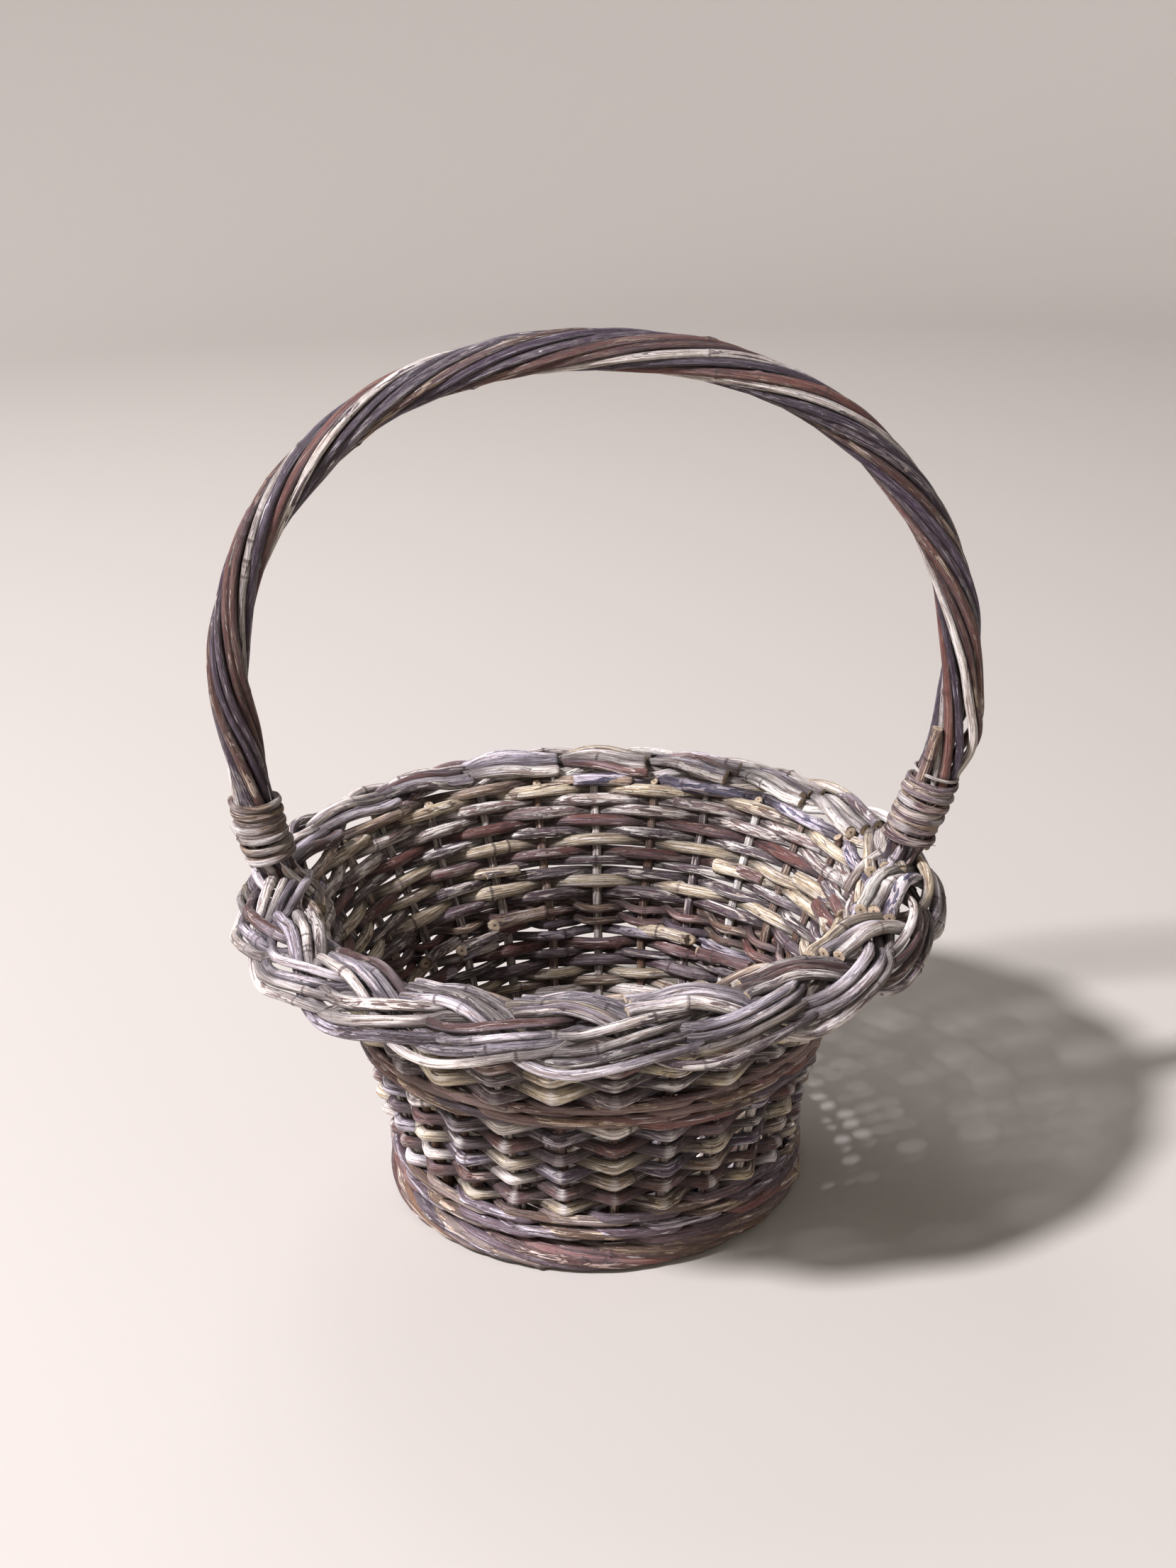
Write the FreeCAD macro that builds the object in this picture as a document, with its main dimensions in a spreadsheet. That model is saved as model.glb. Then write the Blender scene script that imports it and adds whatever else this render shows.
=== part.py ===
import FreeCAD, Part
import math
import os
import Sketcher

from FreeCAD import Rotation, Vector

# A round willow basket with a fixed, twisted hoop handle, in millimetres.
# +Z is up, the floor is Z = 0, and the basket's axis is the Z axis. The handle stands in the XZ plane.

SIZES = [
    # Stakes and rods
    ("stake_count", 27),
    ("stake_diameter", 4.2),
    ("rod_diameter", 4.2),
    ("weave_bite", 0.3),
    ("channel_clearance", 0.15),
    ("row_hollow", 1.1),
    # Wall, as radii of the line of stakes
    ("foot_line_radius", 82),
    ("shoulder_line_radius", 95.5),
    ("top_line_radius", 118.5),
    ("stake_bend_radius", 60),
    # Woven bands, from the floor up
    ("foot_height", 11),
    ("wale_pitch", 4.5),
    ("siding_pitch", 5),
    ("upsett_rows", 3),
    ("lower_rows", 9),
    ("middle_rows", 3),
    ("upper_rows", 7),
    ("top_rows", 3),
    # Base
    ("stick_diameter", 5),
    ("stick_gap", 0.4),
    ("lower_stick_count", 3),
    ("upper_stick_count", 4),
    ("base_mid_height", 15),
    ("base_thickness", 14),
    ("base_row_width", 4.6),
    ("base_fit_clearance", 0.2),
    ("stick_end_cover", 1.4),
    ("base_row_hollow", 0.8),
    ("foot_edge_round", 4),
    # Plaited border
    ("border_inside_wall_line", 3.5),
    ("border_beyond_wall_line", 31.5),
    ("border_strand_diameter", 7.2),
    ("border_strand_gap", 0.3),
    ("border_waves", 6),
    ("border_rise", 6),
    ("border_seat_gap", 0.3),
    ("border_to_handle_rods", 1),
    ("strand_end_gap", 0.3),
    ("strand_points_in_wave", 12),
    # Handle
    ("handle_beyond_wall_line", 30.1),
    ("handle_rise", 132),
    ("handle_centre_above_wall", 95.5),
    ("handle_lean", 2.7),
    ("handle_squareness", 0.92),
    ("handle_shoulder_turn", 14),
    ("handle_arc_steps", 14),
    ("leg_depth", 40),
    ("knee_beyond_wall_line", 10.5),
    ("knee_above_wall", 11.5),
    ("binding_beyond_wall_line", 18.2),
    ("binding_above_wall", 32),
    ("core_diameter", 6.6),
    ("handle_rod_count", 7),
    ("handle_rod_diameter", 5),
    ("handle_rod_gap", 0.5),
    ("handle_rod_side_gap", 0.25),
    ("handle_twist_length", 195),
    ("rod_points_in_turn", 11),
    ("binding_turns", 7),
    ("binding_length", 27),
    ("binding_wall", 2.6),
    ("binding_hollow", 1.05),
    ("binding_clearance", 1),
    ("channel_past_end", 3),
]

document = FreeCAD.newDocument("market_basket")
sheet = document.addObject("Spreadsheet::Sheet", "Sizes")
for sheet_row, (alias, value) in enumerate(SIZES, start=1):
    sheet.set(f"A{sheet_row}", alias)
    sheet.set(f"B{sheet_row}", str(value))
    sheet.setAlias(f"B{sheet_row}", alias)
document.recompute()


def size(alias):
    return float(sheet.get(alias))


WALL_HALF = "(<<Sizes>>.stake_diameter / 2 + <<Sizes>>.rod_diameter - <<Sizes>>.weave_bite)"
wall_half = size("stake_diameter") / 2 + size("rod_diameter") - size("weave_bite")
stake_count = int(size("stake_count"))
stake_pitch = 360 / stake_count

# Heights of the woven bands follow from their rows.
upsett_base = size("foot_height")
lower_base = upsett_base + size("upsett_rows") * size("wale_pitch")
middle_base = lower_base + size("lower_rows") * size("siding_pitch")
upper_base = middle_base + size("middle_rows") * size("wale_pitch")
top_base = upper_base + size("upper_rows") * size("siding_pitch")
wall_top = top_base + size("top_rows") * size("wale_pitch")

# The rim and the handle follow the wall's top.
border_inner_edge = size("top_line_radius") - size("border_inside_wall_line")
border_outer_edge = size("top_line_radius") + size("border_beyond_wall_line")
handle_half_span = size("top_line_radius") + size("handle_beyond_wall_line")
handle_centre_height = wall_top + size("handle_centre_above_wall")
leg_knee_radius = size("top_line_radius") + size("knee_beyond_wall_line")
leg_knee_height = wall_top + size("knee_above_wall")
leg_binding_radius = size("top_line_radius") + size("binding_beyond_wall_line")
leg_binding_height = wall_top + size("binding_above_wall")
# The rods round the core stand off it, and off each other.
around_core = size("core_diameter") / 2 + size("handle_rod_diameter") / 2 + size("handle_rod_gap")
half_rod_turn = math.pi / int(size("handle_rod_count"))
side_by_side = (size("handle_rod_diameter") + size("handle_rod_side_gap")) / (2 * math.sin(half_rod_turn))
rod_circle_radius = max(around_core, side_by_side)
handle_outer_radius = rod_circle_radius + size("handle_rod_diameter") / 2

# Where two strands of the plait cross, their lines stand apart by the rod and a gap: 60 degrees of a
# wave from the middle, over two lines that slope against each other.
strand_radius = size("border_strand_diameter") / 2
crossing = math.radians(60)
slope_share = 1.22
strand_lift = (2 * strand_radius + size("border_strand_gap")) / (2 * math.sin(crossing)) * slope_share
inner_rise = size("border_rise") / 2 * math.sin(math.radians(45))
border_middle_height = wall_top + size("border_seat_gap") + strand_radius + strand_lift - inner_rise
border_top = border_middle_height + inner_rise + strand_lift + strand_radius

node_objects = []


# ---------------------------------------------------------------- helpers


def keep_node(item, label):
    item.Label = label
    node_objects.append(item)
    return item


def helper(name, shape):
    item = document.addObject("Part::Feature", name)
    item.Shape = shape
    return item


def stake_line_radius(height):
    """Radius of the line of stakes at a height above the floor."""
    corners = [
        (lower_base, size("foot_line_radius")),
        (upper_base, size("shoulder_line_radius")),
        (wall_top, size("top_line_radius")),
    ]
    if height <= corners[0][0]:
        return corners[0][1]
    for (low, low_radius), (high, high_radius) in zip(corners, corners[1:]):
        if height <= high:
            return low_radius + (high_radius - low_radius) * (height - low) / (high - low)
    return corners[-1][1]


def corner_reach(before, corner, after):
    """How far along each run an arc may start, and half the turn at this corner."""
    arriving = (corner - before).normalize()
    leaving = (after - corner).normalize()
    half_turn = arriving.getAngle(leaving) / 2
    return 0.45 * min((corner - before).Length, (after - corner).Length), half_turn


def smooth_wire(points, largest_radius=None):
    """Straight runs joined by tangent arcs, each as large as its runs allow."""
    edges = []
    place = points[0]
    for before, corner, after in zip(points, points[1:], points[2:]):
        reach, half_turn = corner_reach(before, corner, after)
        if largest_radius is not None:
            reach = min(reach, largest_radius * math.tan(half_turn))
        radius = reach / math.tan(half_turn)
        start = corner + (before - corner).normalize() * reach
        end = corner + (after - corner).normalize() * reach
        inward = ((start + end) * 0.5 - corner).normalize()
        middle = corner + inward * (radius / math.cos(half_turn) - radius)
        edges.append(Part.LineSegment(place, start).toShape())
        edges.append(Part.Arc(start, middle, end).toShape())
        place = end
    edges.append(Part.LineSegment(place, points[-1]).toShape())
    return Part.Wire(edges)


def swept_rod(label, path, diameter_expression):
    """A round rod along a path, its section a circle bound to the sheet."""
    spine = helper(label + "_path", path)
    first_edge = path.OrderedEdges[0]
    start = first_edge.valueAt(first_edge.FirstParameter)
    direction = first_edge.tangentAt(first_edge.FirstParameter)
    section = document.addObject("Part::Circle", label + "_section")
    section.setExpression("Radius", diameter_expression + " / 2")
    section.Placement = FreeCAD.Placement(start, Rotation(Vector(0, 0, 1), direction))
    rod = document.addObject("Part::Sweep", label)
    rod.Sections = [section]
    rod.Spine = spine
    rod.Solid = True
    rod.Transition = "Transformed"
    return rod


def scalloped_side(stations, hollow):
    """Arcs through a row of stations: each row bulges, and is drawn in where it meets the next."""
    edges = []
    for (start, start_out), (end, end_out) in zip(stations, stations[1:]):
        middle = (start + end) * 0.5 + (start_out + end_out) * 0.5 * hollow
        edges.append(Part.Arc(start, middle, end).toShape())
    return edges


def band_profile(bottom, pitch, rows):
    """Half section of a woven band: one bulge for each row, inside and outside."""
    hollow = size("row_hollow")
    edge_half = wall_half - hollow
    heights = [bottom + pitch * row for row in range(rows + 1)]
    outer = []
    inner = []
    for height in heights:
        radius = stake_line_radius(height)
        outer.append((Vector(radius + edge_half, 0, height), Vector(1, 0, 0)))
        inner.append((Vector(radius - edge_half, 0, height), Vector(-1, 0, 0)))
    edges = scalloped_side(outer, hollow)
    edges.append(Part.LineSegment(outer[-1][0], inner[-1][0]).toShape())
    edges += scalloped_side(inner[::-1], hollow)
    edges.append(Part.LineSegment(inner[0][0], outer[0][0]).toShape())
    return Part.Face(Part.Wire(edges))


def woven_band(label, bottom, pitch, rows, channels):
    """A band of the wall, turned about the basket's axis, with a channel for each rod inside it."""
    profile = helper(label + "_profile", band_profile(bottom, pitch, rows))
    turned = document.addObject("Part::Revolution", label + "_blank")
    turned.Source = profile
    turned.Axis = Vector(0, 0, 1)
    turned.Angle = 360
    turned.Solid = True
    band = document.addObject("Part::Cut", label)
    band.Base = turned
    band.Tool = channels
    return keep_node(band, label)


# ---------------------------------------------------------------- side stakes


def stake_path(extra=0):
    return smooth_wire(
        [
            Vector(size("foot_line_radius"), 0, upsett_base - extra),
            Vector(size("foot_line_radius"), 0, lower_base),
            Vector(size("shoulder_line_radius"), 0, upper_base),
            Vector(size("top_line_radius"), 0, wall_top)
            + Vector(
                size("top_line_radius") - size("shoulder_line_radius"), 0, wall_top - upper_base
            ).normalize() * extra,
        ],
        largest_radius=size("stake_bend_radius"),
    )


def first_stake_angle():
    return -90 + stake_pitch / 2


for stake_number in range(stake_count):
    stake_label = f"side_stake_{stake_number + 1:02d}"
    stake = swept_rod(stake_label, stake_path(), "<<Sizes>>.stake_diameter")
    stake.Placement = FreeCAD.Placement(Vector(), Rotation(Vector(0, 0, 1), 0))
    stake.setExpression(
        "Placement.Rotation.Angle",
        f"-90 + ({stake_number} + 0.5) * 360 / <<Sizes>>.stake_count",
    )
    keep_node(stake, stake_label)


# ---------------------------------------------------------------- handle


def leg_points(side):
    """One leg, from its cut end inside the wall up to the top of its binding."""
    wall_direction = Vector(
        size("top_line_radius") - size("shoulder_line_radius"), 0, wall_top - upper_base
    ).normalize()
    wall_exit = Vector(size("top_line_radius"), 0, wall_top)
    cut_end = wall_exit - wall_direction * (size("leg_depth") / wall_direction.z)
    knee = Vector(leg_knee_radius, 0, leg_knee_height)
    binding = Vector(leg_binding_radius, 0, leg_binding_height)
    points = [cut_end, wall_exit, knee, binding]
    return [Vector(side * point.x, 0, point.z) for point in points]


def arch_points():
    """The bow above the bindings: half an oval on two nearly upright shoulders."""
    points = []
    shoulder_turn = size("handle_shoulder_turn")
    steps = int(size("handle_arc_steps"))
    for step in range(steps + 1):
        turn = math.radians(-shoulder_turn + (180 + 2 * shoulder_turn) * step / steps)
        across = math.copysign(abs(math.cos(turn)) ** size("handle_squareness"), math.cos(turn))
        points.append(
            Vector(
                size("handle_lean") + handle_half_span * across,
                0,
                handle_centre_height + size("handle_rise") * math.sin(turn),
            )
        )
    return points


handle_wire = smooth_wire(leg_points(1) + arch_points() + leg_points(-1)[::-1])
HANDLE_SAMPLES = 1400
handle_samples = handle_wire.discretize(Number=HANDLE_SAMPLES)
handle_core = swept_rod("handle_core", handle_wire, "<<Sizes>>.core_diameter")
keep_node(handle_core, "handle_core")


def binding_frame(side):
    """Centre of a binding on its leg, and the leg's direction there."""
    leg_top = leg_points(side)[-1]
    near = min(handle_samples, key=lambda point: (point - leg_top).Length)
    nearby = [
        point
        for point in handle_samples
        if (point - near).Length <= size("binding_length") / 2 and side * point.x > 0
    ]
    nearby.sort(key=lambda point: point.z)
    direction = (nearby[-1] - nearby[0]).normalize()
    return near, direction


def twisted_rod_points(number):
    """A rod wound about the core, left-handed, from the foot of one binding to the foot of the other."""
    low_end = max(
        leg_binding_height - size("binding_length") / 2,
        border_top + size("border_to_handle_rods"),
    )
    samples = [point for point in handle_samples if point.z >= low_end]
    lengths = [0.0]
    for before, after in zip(samples, samples[1:]):
        lengths.append(lengths[-1] + (after - before).Length)
    steps = round(lengths[-1] / size("handle_twist_length") * size("rod_points_in_turn"))
    start_angle = 2 * math.pi * number / int(size("handle_rod_count"))
    points = []
    for step in range(steps + 1):
        travelled = lengths[-1] * step / steps
        index = min(range(len(lengths)), key=lambda i: abs(lengths[i] - travelled))
        before = samples[max(index - 2, 0)]
        after = samples[min(index + 2, len(samples) - 1)]
        along = (after - before).normalize()
        outward = Vector(0, 1, 0).cross(along).normalize()
        angle = start_angle - 2 * math.pi * travelled / size("handle_twist_length")
        offset = outward * math.cos(angle) + Vector(0, 1, 0) * math.sin(angle)
        points.append(samples[index] + offset * rod_circle_radius)
    return points


for rod_number in range(int(size("handle_rod_count"))):
    rod_label = f"handle_rod_{rod_number + 1}"
    rod_wire = smooth_wire(twisted_rod_points(rod_number))
    keep_node(swept_rod(rod_label, rod_wire, "<<Sizes>>.handle_rod_diameter"), rod_label)


def binding_profile():
    """Half section of a wound binding: one bulge for each turn, and a plain bore."""
    inner = handle_outer_radius + size("binding_clearance")
    outer = inner + size("binding_wall")
    hollow = size("binding_hollow")
    half = size("binding_length") / 2
    turns = int(size("binding_turns"))
    stations = []
    for turn in range(turns + 1):
        height = -half + size("binding_length") * turn / turns
        stations.append((Vector(outer - hollow, 0, height), Vector(1, 0, 0)))
    edges = scalloped_side(stations, hollow)
    corners = [stations[-1][0], Vector(inner, 0, half), Vector(inner, 0, -half), stations[0][0]]
    for start, end in zip(corners, corners[1:]):
        edges.append(Part.LineSegment(start, end).toShape())
    return Part.Face(Part.Wire(edges))


for side, binding_label in ((-1, "left_binding"), (1, "right_binding")):
    binding_source = helper(binding_label + "_profile", binding_profile())
    binding = document.addObject("Part::Revolution", binding_label)
    binding.Source = binding_source
    binding.Axis = Vector(0, 0, 1)
    binding.Angle = 360
    binding.Solid = True
    centre, direction = binding_frame(side)
    binding.Placement = FreeCAD.Placement(centre, Rotation(Vector(0, 0, 1), direction))
    keep_node(binding, binding_label)


# ---------------------------------------------------------------- wall


def leg_tools():
    """The handle's two legs, a clearance larger, from their cut ends up to the bindings."""
    clearance = size("channel_clearance")
    tools = []
    for side in (1, -1):
        points = leg_points(side)
        points[0] += (points[0] - points[1]).normalize() * clearance
        leg_wire = smooth_wire(points)
        first_edge = leg_wire.OrderedEdges[0]
        start = first_edge.valueAt(first_edge.FirstParameter)
        direction = first_edge.tangentAt(first_edge.FirstParameter)
        section = Part.Circle(start, direction, size("core_diameter") / 2 + clearance).toShape()
        tools.append(leg_wire.makePipeShell([Part.Wire(section)], True, False))
    return tools


def channel_tools():
    """What is pushed down through the weave, a clearance larger: stakes and the handle's legs."""
    clearance = size("channel_clearance")
    past_end = size("channel_past_end")
    stake_wire = stake_path(extra=past_end)
    tools = []
    stake_section = Part.Wire(
        Part.Circle(
            stake_wire.OrderedVertexes[0].Point, Vector(0, 0, 1), size("stake_diameter") / 2 + clearance
        ).toShape()
    )
    stake_tool = stake_wire.makePipeShell([stake_section], True, False)
    for number in range(stake_count):
        tool = stake_tool.copy()
        tool.rotate(Vector(), Vector(0, 0, 1), first_stake_angle() + number * stake_pitch)
        tools.append(tool)
    return Part.makeCompound(tools + leg_tools())


channels = helper("channels", channel_tools())
woven_band("upsett_wale", upsett_base, size("wale_pitch"), int(size("upsett_rows")), channels)
woven_band("lower_siding", lower_base, size("siding_pitch"), int(size("lower_rows")), channels)
woven_band("middle_wale", middle_base, size("wale_pitch"), int(size("middle_rows")), channels)
woven_band("upper_siding", upper_base, size("siding_pitch"), int(size("upper_rows")), channels)
woven_band("top_wale", top_base, size("wale_pitch"), int(size("top_rows")), channels)


# ---------------------------------------------------------------- foot


def foot_border():
    """The ring the basket stands on: a rectangle turned about the axis, its outer edges rounded."""
    body = document.addObject("PartDesign::Body", "foot_border")
    sketch = body.newObject("Sketcher::SketchObject", "foot_section")
    plane = next(item for item in body.Origin.OriginFeatures if item.Role == "XZ_Plane")
    sketch.AttachmentSupport = [(plane, "")]
    sketch.MapMode = "FlatFace"
    inner = size("foot_line_radius") - wall_half
    outer = size("foot_line_radius") + wall_half
    top = size("foot_height")
    corners = [Vector(inner, 0, 0), Vector(outer, 0, 0), Vector(outer, top, 0), Vector(inner, top, 0)]
    for start, end in zip(corners, corners[1:] + corners[:1]):
        sketch.addGeometry(Part.LineSegment(start, end))
    for line in range(4):
        sketch.addConstraint(Sketcher.Constraint("Coincident", line, 2, (line + 1) % 4, 1))
    for line, kind in enumerate(("Horizontal", "Vertical", "Horizontal", "Vertical")):
        sketch.addConstraint(Sketcher.Constraint(kind, line))
    sketch.addConstraint(Sketcher.Constraint("PointOnObject", 0, 1, -1))
    bound = [
        ("inner_radius", "DistanceX", (-1, 1, 0, 1), inner, "<<Sizes>>.foot_line_radius - " + WALL_HALF),
        ("width", "DistanceX", (0, 1, 0, 2), outer - inner, "2 * " + WALL_HALF),
        ("height", "DistanceY", (1, 1, 1, 2), top, "<<Sizes>>.foot_height"),
    ]
    for name, kind, ends, value, expression in bound:
        index = sketch.addConstraint(Sketcher.Constraint(kind, *ends, value))
        sketch.renameConstraint(index, name)
        sketch.setExpression("Constraints." + name, expression)
    turned = body.newObject("PartDesign::Revolution", "foot_turned")
    turned.Profile = sketch
    turned.ReferenceAxis = (sketch, ["V_Axis"])
    turned.Angle = 360
    document.recompute()
    rounded = body.newObject("PartDesign::Fillet", "foot_rounded")
    outer_edges = [
        f"Edge{number}"
        for number, edge in enumerate(turned.Shape.Edges, start=1)
        if isinstance(edge.Curve, Part.Circle) and abs(edge.Curve.Radius - outer) < 0.01
    ]
    rounded.Base = (turned, outer_edges)
    rounded.setExpression("Radius", "<<Sizes>>.foot_edge_round")
    body.Tip = rounded
    return keep_node(body, "foot_border")


foot_border()


# ---------------------------------------------------------------- base


def base_blank_profile():
    """Half section of the round base: rows of weave above and below the crossed sticks."""
    stick_step = size("stick_diameter") + size("stick_gap")
    inner = stick_step * size("upper_stick_count") / 2 + size("base_fit_clearance")
    outer = size("foot_line_radius") - wall_half - size("base_fit_clearance")
    rows = round((outer - inner) / size("base_row_width"))
    hollow = size("base_row_hollow")
    edge_half = size("base_thickness") / 2 - hollow
    middle = size("base_mid_height")
    radii = [inner + (outer - inner) * row / rows for row in range(rows + 1)]
    upper = [(Vector(radius, 0, middle + edge_half), Vector(0, 0, 1)) for radius in radii]
    lower = [(Vector(radius, 0, middle - edge_half), Vector(0, 0, -1)) for radius in radii]
    edges = scalloped_side(upper, hollow)
    edges.append(Part.LineSegment(upper[-1][0], lower[-1][0]).toShape())
    edges += scalloped_side(lower[::-1], hollow)
    edges.append(Part.LineSegment(lower[0][0], upper[0][0]).toShape())
    return Part.Face(Part.Wire(edges))


def base_sticks():
    """Two crossed layers of sticks: the lower ones along X, the upper ones along Y."""
    step = size("stick_diameter") + size("stick_gap")
    reach = size("foot_line_radius") - wall_half - size("base_fit_clearance") - size("stick_end_cover")
    layers = [
        (int(size("lower_stick_count")), -1, Vector(1, 0, 0), Vector(0, 1, 0)),
        (int(size("upper_stick_count")), 1, Vector(0, 1, 0), Vector(1, 0, 0)),
    ]
    sticks = []
    for count, layer, along, across in layers:
        for place in range(count):
            offset = (place - (count - 1) / 2) * step
            half_length = math.sqrt(reach**2 - (abs(offset) + size("stick_diameter") / 2) ** 2)
            height = size("base_mid_height") + layer * step / 2
            start = along * -half_length + across * offset + Vector(0, 0, height)
            stick = document.addObject("Part::Cylinder", f"base_stick_{len(sticks) + 1}")
            stick.setExpression("Radius", "<<Sizes>>.stick_diameter / 2")
            stick.Height = 2 * half_length
            stick.Placement = FreeCAD.Placement(start, Rotation(Vector(0, 0, 1), along))
            keep_node(stick, stick.Name)
            sticks.append((start, along, 2 * half_length))
    return sticks


def base_weave(sticks):
    clearance = size("channel_clearance")
    tools = []
    for start, along, length in sticks:
        radius = size("stick_diameter") / 2 + clearance
        tools.append(Part.makeCylinder(radius, length + 2 * clearance, start - along * clearance, along))
    source = helper("base_weave_profile", base_blank_profile())
    turned = document.addObject("Part::Revolution", "base_weave_blank")
    turned.Source = source
    turned.Axis = Vector(0, 0, 1)
    turned.Angle = 360
    turned.Solid = True
    weave = document.addObject("Part::Cut", "base_weave")
    weave.Base = turned
    weave.Tool = helper("stick_channels", Part.makeCompound(tools))
    return keep_node(weave, "base_weave")


base_weave(base_sticks())


# ---------------------------------------------------------------- plaited border


def border_points(strand):
    """One of the three strands: it swings in and out round the rim, and over and under the others."""
    swing = (border_outer_edge - border_inner_edge) / 2 - strand_radius
    mean_radius = (border_outer_edge + border_inner_edge) / 2
    waves = int(size("border_waves"))
    points_in_wave = int(size("strand_points_in_wave"))
    points = []
    for step in range(waves * points_in_wave):
        around = 2 * math.pi * step / (waves * points_in_wave)
        # A strand lies at the inner edge at each leg, and the leg comes up beside it.
        phase = waves * around + 2 * math.pi * strand / 3 - math.pi / 2
        lateral = math.sin(phase)
        distance = mean_radius + swing * lateral
        height = border_middle_height - size("border_rise") / 2 * lateral
        height -= strand_lift * math.sin(2 * phase)
        points.append(Vector(distance * math.cos(around), distance * math.sin(around), height))
    # The strand's two ends butt together half way along one run.
    butt = (points[-1] + points[0]) * 0.5
    half_gap = (points[0] - points[-1]).normalize() * (size("strand_end_gap") / 2)
    return [butt + half_gap] + points + [butt - half_gap]


# The legs come up through the plait, so it leaves them room.
notches = helper("leg_notches", Part.makeCompound(leg_tools()))
for strand_number in range(3):
    strand_label = f"border_strand_{strand_number + 1}"
    strand_wire = smooth_wire(border_points(strand_number))
    whole_strand = swept_rod(strand_label + "_whole", strand_wire, "<<Sizes>>.border_strand_diameter")
    strand = document.addObject("Part::Cut", strand_label)
    strand.Base = whole_strand
    strand.Tool = notches
    keep_node(strand, strand_label)


# ---------------------------------------------------------------- checks and files

document.recompute()
for item in document.Objects:
    if "Invalid" in item.State or "Error" in item.State:
        raise RuntimeError(f"{item.Label} failed: {item.State}")
for item in node_objects:
    if item.Shape.isNull() or not item.Shape.isValid():
        raise RuntimeError(f"{item.Label} has no valid shape")
    if len(item.Shape.Solids) != 1 or item.Shape.Volume <= 0:
        raise RuntimeError(f"{item.Label} isn't one solid")

os.makedirs("parts", exist_ok=True)
for item in node_objects:
    item.Shape.exportStep(f"parts/{item.Label}.step")
print(len(node_objects), "nodes, handle top", round(handle_core.Shape.BoundBox.ZMax, 1))
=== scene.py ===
import math
import random

import bpy
import numpy as np
from mathutils import Matrix, Vector


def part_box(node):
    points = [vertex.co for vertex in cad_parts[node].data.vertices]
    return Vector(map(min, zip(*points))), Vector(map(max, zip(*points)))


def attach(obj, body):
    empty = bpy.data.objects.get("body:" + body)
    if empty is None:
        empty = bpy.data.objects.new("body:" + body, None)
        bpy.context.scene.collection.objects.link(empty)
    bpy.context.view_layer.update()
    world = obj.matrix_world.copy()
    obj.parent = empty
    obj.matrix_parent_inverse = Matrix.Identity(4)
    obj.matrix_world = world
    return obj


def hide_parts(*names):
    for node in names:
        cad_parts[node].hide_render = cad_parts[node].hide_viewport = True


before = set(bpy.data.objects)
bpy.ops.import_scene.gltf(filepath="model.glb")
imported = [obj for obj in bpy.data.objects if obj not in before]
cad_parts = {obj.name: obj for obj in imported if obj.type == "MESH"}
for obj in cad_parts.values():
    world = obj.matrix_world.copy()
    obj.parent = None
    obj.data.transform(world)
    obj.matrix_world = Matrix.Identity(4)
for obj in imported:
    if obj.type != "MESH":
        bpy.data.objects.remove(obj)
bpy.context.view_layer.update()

# A willow basket: bark-on and peeled rods woven on stakes, a plaited rim and a twisted hoop handle.
# Lengths are in millimetres until a mesh is made, and then in metres.

MM = 0.001
luck = random.Random(7)

# ---------------------------------------------------------------- sizes taken from the frame


def low(node, axis):
    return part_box(node)[0][axis] / MM


def high(node, axis):
    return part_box(node)[1][axis] / MM


X, Z = 0, 2
STAKES = sum(name.startswith("side_stake_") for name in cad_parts)
STAKE_PITCH = 2 * math.pi / STAKES
STAKE_RADIUS = 2.1
WALL_HALF = 6.0
POINTS_PER_GAP = 17
WEAVE_BOW = 3.9
ROW_HOLLOW = 1.1

foot_top = high("foot_border", Z)
upsett_top = high("upsett_wale", Z)
lower_top = high("lower_siding", Z)
middle_top = high("middle_wale", Z)
wall_top = high("top_wale", Z)
foot_line = high("foot_border", X) - WALL_HALF
shoulder_line = high("middle_wale", X) - WALL_HALF + ROW_HOLLOW / 2
top_line = high("top_wale", X) - WALL_HALF + ROW_HOLLOW / 2
base_low = low("base_weave", Z)
base_high = high("base_weave", Z)
handle_core_radius = 3.1
handle_top = high("handle_core", Z) - handle_core_radius
HANDLE_LEAN_MORE = 2.8
handle_right = high("handle_core", X) - handle_core_radius + HANDLE_LEAN_MORE
handle_left = -low("handle_core", X) - handle_core_radius - HANDLE_LEAN_MORE
binding_middle = (low("left_binding", Z) + high("left_binding", Z)) / 2

FIRST_STAKE = -math.pi / 2 + STAKE_PITCH / 2 - 0.037


def wall_line(height):
    """Radius of the line of stakes at a height."""
    return np.interp(
        height,
        [0, upsett_top, middle_top, wall_top, wall_top + 20],
        [foot_line, foot_line, shoulder_line, top_line, top_line + 4],
    )


# ---------------------------------------------------------------- colours of the rods


def linear(red, green, blue):
    """A colour given as 0 to 255 on screen, as the shader wants it."""
    return tuple(
        c / 12.92 if c <= 0.04045 else ((c + 0.055) / 1.055) ** 2.4
        for c in (red / 255, green / 255, blue / 255)
    )


CREAM = linear(232, 224, 212)
WHITE_GREY = linear(222, 214, 216)
PALE_YELLOW = linear(206, 192, 160)
LAVENDER = linear(180, 172, 182)
TAN = linear(174, 153, 128)
OLIVE = linear(160, 142, 112)
PINK_TAN = linear(176, 152, 140)
RED_BROWN = linear(104, 60, 52)
PINK_BROWN = linear(122, 96, 90)
PURPLE_BROWN = linear(82, 60, 66)
DEEP_PURPLE = linear(60, 38, 60)
NAVY = linear(50, 50, 82)
BROWN = linear(112, 82, 62)
GREY_BROWN = linear(128, 112, 106)
DARK_RED = linear(74, 38, 36)

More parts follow.
